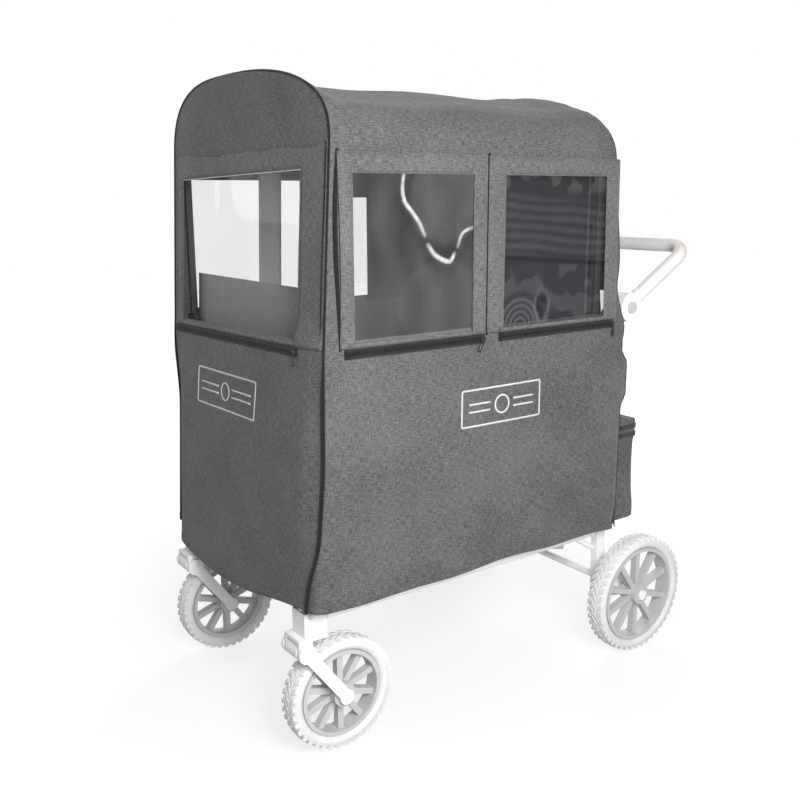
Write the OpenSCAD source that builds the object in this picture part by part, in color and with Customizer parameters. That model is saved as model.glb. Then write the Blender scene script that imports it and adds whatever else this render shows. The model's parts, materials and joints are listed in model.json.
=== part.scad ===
// Four-seat stroller wagon with a full weather cover, a push-pull handle and swivel front wheels.
// +X points to the handle end, -Y is the near side, +Z is up.
// The origin is the middle of the whole footprint, on the ground.
// Lengths along X are written in the cabin's own frame and moved by placed() at the end.

/* [Wheels] */
// Radius of the two front swivel wheels
front_wheel_r = 127.5; // [122:0.5:130]
// Radius of the two rear wheels
rear_wheel_r = 154; // [150:0.5:157]
// Width of every tyre
tyre_w = 52; // [48:1:54]
// Front wheel axle ahead of the cabin's middle
front_axle_x = -348.5; // [-352:0.5:-345]
// Rear wheel axle behind the cabin's middle
rear_axle_x = 517; // [513:1:521]
// Half of the front track
front_track = 283; // [281:1:285]
// Half of the rear track
rear_track = 363; // [361:1:366]

/* [Cover] */
// Half width of the cover over its sides
cover_half_w = 352.5; // [351:0.5:354]
// Height of the top of the roof
roof_z = 1416; // [1411:1:1421]
// Height of the hem along the sides
hem_z = 345; // [343:1:350]
// Height of the zips under the windows
zip_z = 884; // [882:1:886]
// Height of the eaves, where the roof starts
eave_z = 1265; // [1263:1:1268]
// Thickness of the cover's fabric
fabric_t = 3; // [2:0.5:3]
// Radius of the roof's wide top arc
roof_r = 1000; // [950:10:1050]
// Radius of the roof's two shoulders
shoulder_r = 100; // [90:1:105]

/* [Handle] */
// Height of the handle's pivot
pivot_z = 905; // [903:1:907]
// Distance of the handle's pivot behind the cabin's middle
pivot_x = 470; // [469:1:473]
// Reach from the pivot to the cross bar
handle_reach = 269; // [262:1:271]
// Angle of the handle above level
handle_tilt = 31.3; // [30:0.1:32]
// Diameter of the padded grip
grip_d = 35; // [32:0.5:36]

/* [Frame] */
// Height of the lower rails' centre line
lower_rail_z = 325; // [324:1:328]
// Height of the upper rails' centre line
upper_rail_z = 850; // [848:1:851]
// Outside diameter of the rails
rail_d = 25; // [22:1:25]
// Height of the tub's side walls
tub_side_z = 800; // [780:5:810]
// Height of the tops of the front seat backs
front_back_z = 995; // [980:5:1000]

/* [Hidden] */

$fn = 64;
NEAR = -1;
FAR = 1;

// The footprint runs from the front wheel's tread to the handle's cross bar.
handle_bar_x = pivot_x + handle_reach * cos(handle_tilt);
mid_x = (front_axle_x - front_wheel_r + handle_bar_x + grip_d / 2) / 2;

// Ends of the cover: the front leans in towards the roof, the rear leans in above the zips.
front_zip_x = -414;
front_tilt = 3.245;
rear_zip_x = 430;
rear_tilt = 6.88;
rear_hem_x = 462;
rear_ledge_x = 452;
function front_x(z) = front_zip_x + (z - zip_z) * tan(front_tilt);
function rear_x(z) = rear_zip_x - (z - zip_z) * tan(rear_tilt);

// Roof arc: its centre, and the centres of the two shoulders tangent to the sides and the top arc.
roof_centre_z = roof_z - roof_r;
shoulder_y = cover_half_w - shoulder_r;
shoulder_z = roof_centre_z + sqrt(pow(roof_r - shoulder_r, 2) - pow(shoulder_y, 2));

// Window flaps: [first x, last x] of the flap and of its clear pane.
side_flaps = [[-371, -7], [-1, 395]];
side_panes = [[-339, -47], [44, 354]];
far_panes = [[-357, -47], [44, 354]];
side_openings = [[-355, -24], [10, 372]];
flap_top_z = 1252;
pane_low_z = 893;
pane_top_z = 1215;
opening_low_z = 899;
opening_top_z = 1238;
flap_low_z = zip_z + 1;
flap_t = 3;
pane_t = 1;
flap_gap = 0.5;
front_flap_y = [-347, 335];
front_pane_y = [-255, 295];
front_opening_y = [-330, 318];
front_flap_top_z = 1264;

// Zips: a tape below each flap, and a slider that runs along it.
tape_h = 20;
tape_t = 1.2;
tape_top_z = zip_z - 1.5;
side_zips = [[-361, -3], [35, 402]];
front_zip_y = [-268, 345];
slider_w = 9;
slider_h = 12;
slider_t = 4.5;
slider_gap = 0.5;
tab_h = 26;
tab_w = 6;

// Running gear.
running = 0.05;
stem_x = -415;
stem_r = 10;
arm_pivot_x = -442;
arm_pivot_z = 254;
pin_r = 6;
boss_r = 20;
boss_w = 44;
ear_t = 8;
arm_t = 8;
arm_inner = 31.5;
axle_r = 6;
rear_axle_r = 8;
housing_top_z = 337;
housing_low_z = 286;
axle_tube_x = 440;
axle_tube_z = 198;
axle_tube_r = 9;

leg_y = 300;
rail_y = 322;
front_rail_x = -395;
rear_rail_x = 418;
hub_r = 36;
handle_y = 330;
handle_bend = 60;
handle_tube_r = 11;
sleeve_start = 48;

module placed() {
    translate([-mid_x, 0, 0])
        children();
}

module both_sides() {
    children();
    mirror([0, 1, 0])
        children();
}

// A box from its lowest corner to its highest corner.
module span_box(low, high) {
    translate(low)
        cube(high - low);
}

// A round bar between two points.
module bar(from, to, r) {
    d = to - from;
    length = norm(d);
    translate(from)
        rotate([0, acos(d[2] / length), atan2(d[1], d[0])])
            cylinder(r = r, h = length);
}

// A cylinder along Y, centred on a point.
module cross_pin(centre, r, length) {
    translate(centre)
        rotate([90, 0, 0])
            cylinder(r = r, h = length, center = true);
}

// An outline in the XZ plane, made thick along Y from y.
module side_sheet(y, thick) {
    translate([0, y + thick, 0])
        rotate([90, 0, 0])
            linear_extrude(thick)
                children();
}

// An outline in the YZ plane that leans with the cover's front face.
module front_sheet(thick, lift = 0) {
    translate([front_x(0), 0, 0])
        rotate([0, front_tilt, 0])
            translate([-lift, 0, 0])
                rotate([90, 0, 90])
                    linear_extrude(thick)
                        children();
}

// An outline in the YZ plane that leans with the cover's rear face above the zips.
module rear_sheet(thick, inset = 0) {
    translate([rear_x(0), 0, 0])
        rotate([0, -rear_tilt, 0])
            translate([-thick - inset, 0, 0])
                rotate([90, 0, 90])
                    linear_extrude(thick)
                        children();
}

function up_front(z) = z / cos(front_tilt);
function up_rear(z) = z / cos(rear_tilt);

module outline_box(x, z) {
    translate([x[0], z[0]])
        square([x[1] - x[0], z[1] - z[0]]);
}

// Cross-section of the cabin above a height: straight sides, round shoulders and a wide top arc.
module arch_outline(inset, from_z) {
    half_w = cover_half_w - inset;
    wedge_y = 2 * shoulder_y;
    wedge_z = 2 * shoulder_z - roof_centre_z;
    intersection() {
        union() {
            outline_box([-half_w, half_w], [0, shoulder_z]);
            for (side = [NEAR, FAR])
                translate([side * shoulder_y, shoulder_z])
                    circle(r = shoulder_r - inset);
            intersection() {
                translate([0, roof_centre_z])
                    circle(r = roof_r - inset, $fn = 180);
                polygon([[0, roof_centre_z], [wedge_y, wedge_z], [-wedge_y, wedge_z]]);
            }
        }
        outline_box([-half_w, half_w], [from_z, roof_z + 20]);
    }
}

// ---------------------------------------------------------------- frame

module lower_frame() {
    color("gainsboro") placed() {
        r = rail_d / 2;
        both_sides()
            bar([-386, leg_y, lower_rail_z], [412, leg_y, lower_rail_z], r);
        for (x = [-368, 0, 380])
            bar([x, -leg_y + r, lower_rail_z], [x, leg_y - r, lower_rail_z], r - 2);
        both_sides()
            bar([360, leg_y, lower_rail_z - 8], [418, leg_y, lower_rail_z - 45], 7);
    }
}

module upper_frame() {
    color("gainsboro") placed() {
        r = rail_d / 2;
        both_sides()
            bar([front_rail_x + r, rail_y, upper_rail_z], [rear_rail_x - r, rail_y, upper_rail_z], r);
        for (x = [front_rail_x, rear_rail_x])
            bar([x, -rail_y - r, upper_rail_z], [x, rail_y + r, upper_rail_z], r - 1);
    }
}

// Front legs are round tubes that lean with the cover; rear legs are leaning flat tubes with a plate
// that holds the axle.
module legs() {
    color("gainsboro") placed() {
        both_sides()
            bar([-426, front_track, housing_top_z + 1], [-398.5, front_track, upper_rail_z - 13], 13);
        both_sides() {
            translate([0, leg_y, 0])
                rotate([90, 0, 0])
                    linear_extrude(20, center = true)
                        polygon([[430, 140], [460, 140], [442, 822], [412, 822]]);
            difference() {
                union() {
                    side_sheet(313, 17)
                        polygon([[432, 215], [432, 150], [510, 136], [530, 150], [530, 172], [470, 215]]);
                    cross_pin([rear_axle_x, 321.5, rear_wheel_r], 22, 17);
                }
                cross_pin([rear_axle_x, 321.5, rear_wheel_r], rear_axle_r + 0.1, 40);
            }
        }
    }
}

// Two crossing flat bars on each side, between the tub and the cover.
module side_fold_bars() {
    color("gainsboro") placed() {
        both_sides() {
            fold_bar(331, [-372, 372], [lower_rail_z + 25, upper_rail_z - 70]);
            fold_bar(338, [372, -372], [lower_rail_z + 25, upper_rail_z - 70]);
            cross_pin([0, 338, (lower_rail_z + upper_rail_z - 45) / 2], 7, 19);
        }
    }
}

module fold_bar(y, x, z) {
    length = norm([x[1] - x[0], z[1] - z[0]]);
    angle = atan2(z[1] - z[0], x[1] - x[0]);
    translate([x[0], y, z[0]])
        rotate([0, -angle, 0])
            translate([0, 0, -10])
                cube([length, 5, 20]);
}

module rear_axle() {
    color("gainsboro") placed() {
        cross_pin([axle_tube_x, 0, axle_tube_z], axle_tube_r, 2 * leg_y - 20);
        both_sides() {
            cross_pin([rear_axle_x, 347.5, rear_wheel_r], rear_axle_r, 89);
            cross_pin([rear_axle_x, 391.5, rear_wheel_r], 13, 4);
        }
    }
}

module floor_panel() {
    color("dimgray") placed()
        span_box([-398, -296, lower_rail_z + 13.5], [408, 296, lower_rail_z + 25]);
}

module tub_walls() {
    color("dimgray") placed() {
        low = lower_rail_z + 26;
        both_sides()
            span_box([-380, 299, low], [400, 303, tub_side_z]);
        front_sheet(4, -38)
            polygon([
                [-268, low], [268, low], [268, upper_rail_z + 22], [300, upper_rail_z + 22],
                [300, front_back_z - 3], [-300, front_back_z - 3], [-300, upper_rail_z + 22],
                [-268, upper_rail_z + 22]
            ]);
        span_box([396, -286, low], [402, 286, upper_rail_z + 80]);
    }
}

// ---------------------------------------------------------------- seats

seat_y = 152;
seat_w = 262;

module seat_cushions() {
    color("slategray") placed()
        for (y = [-seat_y, seat_y]) {
            span_box([-372, y - seat_w / 2, 470], [-115, y + seat_w / 2, 545]);
            span_box([115, y - seat_w / 2, 470], [372, y + seat_w / 2, 545]);
        }
}

module seat_backs() {
    color("slategray") placed()
        for (y = [-seat_y, seat_y]) {
            translate([-330, y, 555])
                rotate([0, -1.5, 0])
                    translate([-22, -seat_w / 2, 0])
                        cube([44, seat_w, front_back_z - 557]);
            translate([348, y, 555])
                rotate([0, 2, 0])
                    translate([-22, -seat_w / 2, 0])
                        cube([44, seat_w, 480]);
        }
}

// Two shoulder straps, a lap strap and a crotch strap on each seat.
module harness_straps() {
    color("#1c1c1e") placed()
        for (y = [-seat_y, seat_y])
            for (strap = [-45, 45]) {
                span_box([-306, y + strap - 13, 620], [-302, y + strap + 13, 900]);
                span_box([316, y + strap - 13, 620], [320, y + strap + 13, 930]);
            }
}

module harness_buckles() {
    color("#1c1c1e") placed()
        for (y = [-seat_y, seat_y]) {
            span_box([-306, y - 28, 560], [-288, y + 28, 615]);
            span_box([296, y - 28, 560], [314, y + 28, 615]);
        }
}

// ---------------------------------------------------------------- canopy

bow_outer = 10;
bow_inner = 18;
bow_w = 14;
bow_x = [-370, -7, 352];
bow_drops = [0, 18, 12];

// A flat bow: a leg on each side and the arch over them, hung a little below the roof.
module bow(x, drop) {
    foot_z = upper_rail_z + 10 + drop;
    translate([x - bow_w / 2, 0, -drop])
        rotate([90, 0, 90])
            linear_extrude(bow_w)
                difference() {
                    arch_outline(bow_outer, foot_z);
                    arch_outline(bow_inner, foot_z - 10);
                }
}

module canopy_frame() {
    color("#2b2b2d") placed() {
        for (i = [0:2])
            bow(bow_x[i], bow_drops[i]);
        both_sides()
            for (i = [0, 1])
                span_box(
                    [bow_x[i] + bow_w / 2, cover_half_w - bow_inner, shoulder_z - 30],
                    [bow_x[i + 1] - bow_w / 2, cover_half_w - bow_outer, shoulder_z - 20]
                );
    }
}

module pole_clamps() {
    color("#242426") placed()
        for (x = bow_x)
            both_sides()
                difference() {
                    span_box([x - 13, 311, upper_rail_z - 20], [x + 13, 346, upper_rail_z + 38]);
                    span_box(
                        [x - bow_w / 2 - 0.1, cover_half_w - bow_inner - 0.1, upper_rail_z + 9.9],
                        [x + bow_w / 2 + 0.1, cover_half_w - bow_outer + 0.1, upper_rail_z + 60]
                    );
                    translate([x - 30, rail_y, upper_rail_z])
                        rotate([0, 90, 0])
                            cylinder(r = rail_d / 2 + 0.1, h = 60);
                }
}

// The wagon's own shade curtains, let down inside the cover.
module canopy_curtains() {
    color("#3a3b3d") placed() {
        side_sheet(322, 2)
            polygon([[144, 893], [336, 893], [336, 1235], [12, 1235], [12, 1180], [144, 1166]]);
        side_sheet(322, 2)
            polygon([[-196, 868], [-138, 868], [-117, 1235], [-185, 1235]]);
        side_sheet(-324, 2)
            outline_box([30, 336], [893, 1235]);
    }
}

// ---------------------------------------------------------------- cover

module cover_side_skirts() {
    color("#75767a") placed()
        both_sides()
            side_sheet(cover_half_w - fabric_t, fabric_t)
                polygon([
                    [front_x(hem_z) + 4, hem_z],
                    [rear_hem_x - 4, hem_z],
                    [rear_ledge_x - 4, zip_z - 0.2],
                    [front_x(zip_z) + 4, zip_z - 0.2]
                ]);
}

// The front skirt's hem sags in the middle; the rear skirt is cut around the handle brackets.
module cover_end_skirts() {
    color("#75767a") placed() {
        steps = 16;
        half_w = cover_half_w;
        front_sheet(fabric_t)
            polygon(concat(
                [[half_w, up_front(zip_z)], [-half_w, up_front(zip_z)]],
                [for (i = [0:steps])
                    let (y = -half_w + 2 * half_w * i / steps)
                    [y, up_front(hem_z - 4 - 52 * pow(cos(90 * (y - 60) / (half_w + 60)), 2))]]
            ));
        difference() {
            union() {
                translate([0, half_w, 0])
                    rotate([90, 0, 0])
                        linear_extrude(2 * half_w)
                            polygon([
                                [rear_hem_x - fabric_t, hem_z],
                                [rear_hem_x, hem_z],
                                [rear_ledge_x, zip_z],
                                [rear_ledge_x - fabric_t, zip_z]
                            ]);
                span_box(
                    [rear_zip_x - 2, -half_w + fabric_t, zip_z - fabric_t],
                    [rear_ledge_x - fabric_t / 2, half_w - fabric_t, zip_z]
                );
            }
            bracket_slots();
            both_sides()
                span_box([420, 286, zip_z - 20], [480, half_w - fabric_t, zip_z + 8]);
        }
    }
}

module bracket_slots() {
    both_sides()
        span_box([400, 286, 835], [480, 316, 946]);
}

module side_window_surrounds() {
    color("#75767a") placed()
        for (side = [NEAR, FAR])
            side_sheet(side < 0 ? -cover_half_w : cover_half_w - fabric_t, fabric_t)
                difference() {
                    polygon([
                        [front_x(zip_z) + 4, zip_z],
                        [rear_x(zip_z) - 4, zip_z],
                        [rear_x(eave_z) - 4, eave_z],
                        [front_x(eave_z) + 4, eave_z]
                    ]);
                    for (opening = side_openings)
                        outline_box(opening, [opening_low_z, opening_top_z]);
                }
}

module end_window_surrounds() {
    color("#75767a") placed() {
        front_sheet(fabric_t)
            difference() {
                arch_outline(0, up_front(zip_z) + 0.5);
                outline_box(front_opening_y, [opening_low_z, up_front(opening_top_z + 10)]);
            }
        difference() {
            rear_sheet(fabric_t)
                difference() {
                    arch_outline(0, up_rear(zip_z) + 0.5);
                    outline_box([-250, 250], [up_rear(960), up_rear(1210)]);
                }
            bracket_slots();
        }
    }
}

module rear_window_pane() {
    color([0.8, 0.85, 0.9, 0.35]) placed()
        rear_sheet(pane_t, 1)
            outline_box([-249.5, 249.5], [up_rear(960) + 0.5, up_rear(1210) - 0.5]);
}

module cover_roof() {
    color("#75767a") placed()
        intersection() {
            translate([-450, 0, 0])
                rotate([90, 0, 90])
                    linear_extrude(900)
                        difference() {
                            arch_outline(0, eave_z + 0.5);
                            arch_outline(fabric_t, eave_z - 10);
                        }
            side_sheet(-400, 800)
                polygon([
                    [front_x(eave_z) + fabric_t + 0.5, eave_z],
                    [rear_x(eave_z) - fabric_t - 0.5, eave_z],
                    [rear_x(roof_z + 10) - fabric_t - 0.5, roof_z + 10],
                    [front_x(roof_z + 10) + fabric_t + 0.5, roof_z + 10]
                ]);
        }
}

module zip_tapes() {
    color("#111113") placed() {
        for (side = [NEAR, FAR])
            for (zip = side_zips)
                side_sheet(side < 0 ? -cover_half_w - tape_t : cover_half_w, tape_t)
                    outline_box(zip, [tape_top_z - tape_h, tape_top_z]);
        front_sheet(tape_t, tape_t)
            outline_box(front_zip_y, [up_front(tape_top_z - tape_h), up_front(tape_top_z)]);
    }
}

// Plain outlined badges with a simple leaf-like lens mark, stitched on the skirt.
module emblems() {
    color("white") placed() {
        side_sheet(-cover_half_w - 1, 1)
            badge_outline([-68, 165], [680, 765]);
        front_sheet(1, 1)
            badge_outline([-95, 205], [690, 778]);
    }
}

module badge_outline(x, z) {
    line = 4;
    difference() {
        outline_box(x, z);
        outline_box(x + [line, -line], z + [line, -line]);
    }
    translate([(x[0] + x[1]) / 2, (z[0] + z[1]) / 2])
        difference() {
            circle(r = 22);
            circle(r = 18);
        }
}

// ---------------------------------------------------------------- rear storage

module pouch_solid() {
    side_sheet(-322, 644)
        polygon([[469, 350], [476, 341], [546, 350], [543, 545], [551, 565], [550, 612], [469, 628]]);
}

module storage_pouch() {
    color("#75767a") placed()
        pouch_solid();
}

module pouch_straps() {
    color("#161618") placed()
        difference() {
            for (z = [567, 588])
                span_box([466, -324, z], [553, 324, z + 11]);
            pouch_solid();
        }
}

// ---------------------------------------------------------------- handle

module handle_brackets() {
    color("gainsboro") placed()
        both_sides()
            difference() {
                union() {
                    side_sheet(290, 19)
                        polygon([
                            [404, upper_rail_z - 14], [432, upper_rail_z - 14],
                            [pivot_x + 22, pivot_z - 20], [pivot_x - 10, pivot_z + 26], [404, upper_rail_z + 16]
                        ]);
                    cross_pin([pivot_x, 299.5, pivot_z], 28, 19);
                }
                cross_pin([pivot_x, 300, pivot_z], 8 + running, 40);
                cross_pin([rear_rail_x, 300, upper_rail_z], rail_d / 2 - 0.9, 60);
            }
}

// The handle's flat frame: u runs along the arms from the pivot, v runs across.
module handle_frame() {
    translate([pivot_x, 0, pivot_z])
        rotate([0, -handle_tilt, 0])
            children();
}

// A U of a round section: two arms from u0, two bends and the cross bar.
module handle_u(u0, r) {
    corner_u = handle_reach - handle_bend;
    corner_y = handle_y - handle_bend;
    both_sides() {
        translate([u0, handle_y, 0])
            rotate([0, 90, 0])
                cylinder(r = r, h = corner_u - u0);
        translate([corner_u, corner_y, 0])
            rotate_extrude(angle = 90)
                translate([handle_bend, 0])
                    circle(r = r);
    }
    translate([handle_reach, 0, 0])
        rotate([90, 0, 0])
            cylinder(r = r, h = 2 * corner_y, center = true);
}

module handle_tube() {
    color("gainsboro") placed() handle_frame()
        handle_u(hub_r - 1, handle_tube_r);
}

module handle_grip() {
    color("#e8ddd2") placed() handle_frame()
        difference() {
            handle_u(sleeve_start, grip_d / 2);
            handle_u(sleeve_start - 10, handle_tube_r);
        }
}

// Round hubs with a pin into each bracket, a socket for the arm and a recess for the button.
module handle_hubs() {
    color("lightgray") placed() handle_frame()
        both_sides()
            difference() {
                union() {
                    translate([0, 312, 0])
                        rotate([-90, 0, 0])
                            cylinder(r = hub_r, h = 36);
                    translate([0, handle_y, 0])
                        rotate([0, 90, 0])
                            cylinder(r = 16.5, h = sleeve_start - 0.5);
                    translate([0, 291, 0])
                        rotate([-90, 0, 0])
                            cylinder(r = 8, h = 25);
                }
                translate([hub_r - 1, handle_y, 0])
                    rotate([0, 90, 0])
                        cylinder(r = handle_tube_r, h = 40);
                translate([0, 336, 0])
                    rotate([-90, 0, 0])
                        cylinder(r = 14.4, h = 20);
            }
}

module hub_button(side) {
    color("darkgray") placed() handle_frame()
        scale([1, side, 1])
            translate([0, 342, 0])
                rotate([-90, 0, 0])
                    cylinder(r = 14, h = 11);
}

module hub_button_near() {
    hub_button(NEAR);
}

module hub_button_far() {
    hub_button(FAR);
}

// ---------------------------------------------------------------- brake

module brake_pedal() {
    color("lightgray") placed()
        difference() {
            union() {
                cross_pin([axle_tube_x, 0, axle_tube_z], 15, 70);
                translate([axle_tube_x, -14, axle_tube_z])
                    rotate([0, 14, 0])
                        translate([0, 0, -5])
                            cube([110, 28, 10]);
                translate([axle_tube_x, -48, axle_tube_z])
                    rotate([0, 14, 0])
                        translate([95, 0, -7])
                            cube([48, 96, 14]);
            }
            cross_pin([axle_tube_x, 0, axle_tube_z], axle_tube_r + running, 120);
        }
}

// ---------------------------------------------------------------- casters

module caster_housings() {
    color("gainsboro") placed()
        both_sides()
            difference() {
                span_box(
                    [-441, front_track - 25, housing_low_z],
                    [-387, front_track + 25, housing_top_z]
                );
                translate([stem_x, front_track, housing_low_z - 5])
                    cylinder(r = stem_r + running, h = 51);
            }
}

// A stem that turns in the housing, a yoke plate and two ears that hold the arm's pin.
module caster_swivel(side) {
    color("lightgray") placed()
        translate([0, side * front_track, 0])
            difference() {
                union() {
                    translate([stem_x, 0, 278])
                        cylinder(r = stem_r, h = 52);
                    span_box([-458, -31, 277], [-390, 31, housing_low_z - 1]);
                    both_sides() {
                        span_box([-458, 23, arm_pivot_z], [-426, 23 + ear_t, 280]);
                        cross_pin([arm_pivot_x, 23 + ear_t / 2, arm_pivot_z], 16, ear_t);
                    }
                }
                cross_pin([arm_pivot_x, 0, arm_pivot_z], pin_r + running, 100);
            }
}

// Two trailing arms joined by their pivot pin and boss at the top and by the wheel axle below.
module caster_arm(side) {
    dx = front_axle_x - arm_pivot_x;
    dz = front_wheel_r - arm_pivot_z;
    length = norm([dx, dz]);
    color("lightgray") placed()
        translate([0, side * front_track, 0]) {
            cross_pin([arm_pivot_x, 0, arm_pivot_z], pin_r, 2 * (arm_inner + arm_t));
            cross_pin([arm_pivot_x, 0, arm_pivot_z], boss_r, boss_w);
            cross_pin([front_axle_x, 0, front_wheel_r], axle_r, 2 * (arm_inner + arm_t));
            both_sides() {
                cross_pin([arm_pivot_x, arm_inner + arm_t / 2, arm_pivot_z], boss_r, arm_t);
                cross_pin([front_axle_x, arm_inner + arm_t / 2, front_wheel_r], 17, arm_t);
                translate([arm_pivot_x, arm_inner, arm_pivot_z])
                    rotate([0, -atan2(dz, dx), 0])
                        translate([0, 0, -13])
                            cube([length, arm_t, 26]);
            }
        }
}

module caster_swivel_near() {
    caster_swivel(NEAR);
}

module caster_swivel_far() {
    caster_swivel(FAR);
}

module caster_arm_near() {
    caster_arm(NEAR);
}

module caster_arm_far() {
    caster_arm(FAR);
}

// ---------------------------------------------------------------- wheels

tyre_depth = 30;
tread_round = 12;
spoke_count = 10;

// Moves a wheel, drawn around the Z axis, to its axle.
module at_wheel(x, y, r) {
    placed()
        translate([x, y, r])
            rotate([90, 0, 0])
                children();
}

module tyre(r) {
    inner = r - tyre_depth;
    half = tyre_w / 2;
    rotate_extrude($fn = 128) {
        translate([inner, -half + 3])
            square([tyre_depth, tyre_w - 6 - 2 * (tread_round - 3)]);
        translate([inner, -half + tread_round])
            square([tyre_depth, tyre_w - 2 * tread_round]);
        translate([inner, -half])
            square([tyre_depth - tread_round, tyre_w]);
        for (s = [-1, 1])
            translate([r - tread_round, s * (half - tread_round)])
                circle(r = tread_round, $fn = 48);
    }
}

module rim(r, bore_r, hub_half) {
    outer = r - tyre_depth - 0.2;
    difference() {
        union() {
            rotate_extrude($fn = 128)
                translate([outer - 9, -tyre_w / 2 + 6])
                    square([9, tyre_w - 12]);
            cylinder(r = 26, h = 2 * hub_half, center = true);
            for (i = [0:spoke_count - 1])
                rotate([0, 0, (i + 0.5) * 360 / spoke_count])
                    translate([20, -7, -9])
                        cube([outer - 24, 14, 18]);
        }
        cylinder(r = bore_r + running, h = 100, center = true);
    }
}

module front_wheel_tyre(side) {
    color("#d2d2d4") at_wheel(front_axle_x, side * front_track, front_wheel_r)
        tyre(front_wheel_r);
}

module front_wheel_rim(side) {
    color("#dcdcde") at_wheel(front_axle_x, side * front_track, front_wheel_r)
        rim(front_wheel_r, axle_r, 29);
}

module rear_wheel_tyre(side) {
    color("#d2d2d4") at_wheel(rear_axle_x, side * rear_track, rear_wheel_r)
        tyre(rear_wheel_r);
}

module rear_wheel_rim(side) {
    color("#dcdcde") at_wheel(rear_axle_x, side * rear_track, rear_wheel_r)
        rim(rear_wheel_r, rear_axle_r, 25.5);
}

// ---------------------------------------------------------------- window flaps and zips

module side_flap(side, i) {
    panes = side < 0 ? side_panes : far_panes;
    color("#6d6e72") placed()
        side_sheet(side < 0 ? -cover_half_w - flap_gap - flap_t : cover_half_w + flap_gap, flap_t)
            difference() {
                outline_box(side_flaps[i], [flap_low_z, flap_top_z]);
                outline_box(panes[i], [pane_low_z, pane_top_z]);
            }
}

module side_pane(side, i) {
    panes = side < 0 ? side_panes : far_panes;
    offset_y = flap_gap + (flap_t - pane_t) / 2;
    color([0.8, 0.85, 0.9, 0.35]) placed()
        side_sheet(side < 0 ? -cover_half_w - offset_y - pane_t : cover_half_w + offset_y, pane_t)
            outline_box(panes[i], [pane_low_z, pane_top_z]);
}

module flap_front() {
    color("#6d6e72") placed()
        front_sheet(flap_t, flap_gap + flap_t)
            difference() {
                outline_box(front_flap_y, [up_front(flap_low_z), up_front(front_flap_top_z)]);
                outline_box(front_pane_y, [up_front(pane_low_z), up_front(pane_top_z)]);
            }
}

module pane_front() {
    color([0.8, 0.85, 0.9, 0.35]) placed()
        front_sheet(pane_t, flap_gap + (flap_t + pane_t) / 2)
            outline_box(front_pane_y, [up_front(pane_low_z), up_front(pane_top_z)]);
}

// A slider with its pull tab hanging, drawn at the end of its zip.
module slider_outline() {
    translate([-slider_w / 2, -slider_h])
        square([slider_w, slider_h]);
    translate([-tab_w / 2, -slider_h - tab_h])
        square([tab_w, tab_h + 2]);
}

module side_slider(side, i) {
    offset_y = tape_t + slider_gap;
    color("#0c0c0e") placed()
        side_sheet(side < 0 ? -cover_half_w - offset_y - slider_t : cover_half_w + offset_y, slider_t)
            translate([side_zips[i][1] - slider_w, tape_top_z - 2])
                slider_outline();
}

module zip_slider_front() {
    color("#0c0c0e") placed()
        front_sheet(slider_t, tape_t + slider_gap + slider_t)
            translate([front_zip_y[0] + slider_w, up_front(tape_top_z) - 2])
                slider_outline();
}

// ---------------------------------------------------------------- fasteners

module frame_bolts() {
    color("silver") placed() {
        both_sides() {
            cross_pin([-427, front_track + 27, 330], 5, 4);
            for (x = bow_x)
                cross_pin([x, 309.5, upper_rail_z + 28], 4, 3);
            cross_pin([448, 311.5, 190], 5, 3);
        }
    }
}

lower_frame();
upper_frame();
legs();
side_fold_bars();
rear_axle();
floor_panel();
tub_walls();
seat_cushions();
seat_backs();
harness_straps();
harness_buckles();
canopy_frame();
pole_clamps();
canopy_curtains();
cover_side_skirts();
cover_end_skirts();
side_window_surrounds();
end_window_surrounds();
cover_roof();
zip_tapes();
emblems();
storage_pouch();
pouch_straps();
handle_brackets();
caster_housings();
frame_bolts();
rear_window_pane();
handle_tube();
handle_grip();
handle_hubs();
hub_button_near();
hub_button_far();
brake_pedal();
caster_swivel_near();
caster_swivel_far();
caster_arm_near();
caster_arm_far();
front_wheel_tyre(NEAR);  // front_tyre_near
front_wheel_tyre(FAR);  // front_tyre_far
front_wheel_rim(NEAR);  // front_rim_near
front_wheel_rim(FAR);  // front_rim_far
rear_wheel_tyre(NEAR);  // rear_tyre_near
rear_wheel_tyre(FAR);  // rear_tyre_far
rear_wheel_rim(NEAR);  // rear_rim_near
rear_wheel_rim(FAR);  // rear_rim_far
side_flap(NEAR, 0);  // flap_near_front
side_flap(NEAR, 1);  // flap_near_rear
side_flap(FAR, 0);  // flap_far_front
side_flap(FAR, 1);  // flap_far_rear
flap_front();
side_pane(NEAR, 0);  // pane_near_front
side_pane(NEAR, 1);  // pane_near_rear
side_pane(FAR, 0);  // pane_far_front
side_pane(FAR, 1);  // pane_far_rear
pane_front();
side_slider(NEAR, 0);  // zip_slider_near_front
side_slider(NEAR, 1);  // zip_slider_near_rear
side_slider(FAR, 0);  // zip_slider_far_front
side_slider(FAR, 1);  // zip_slider_far_rear
zip_slider_front();
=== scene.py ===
import json
import math

import bpy
from mathutils import Matrix, Vector, noise


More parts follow.
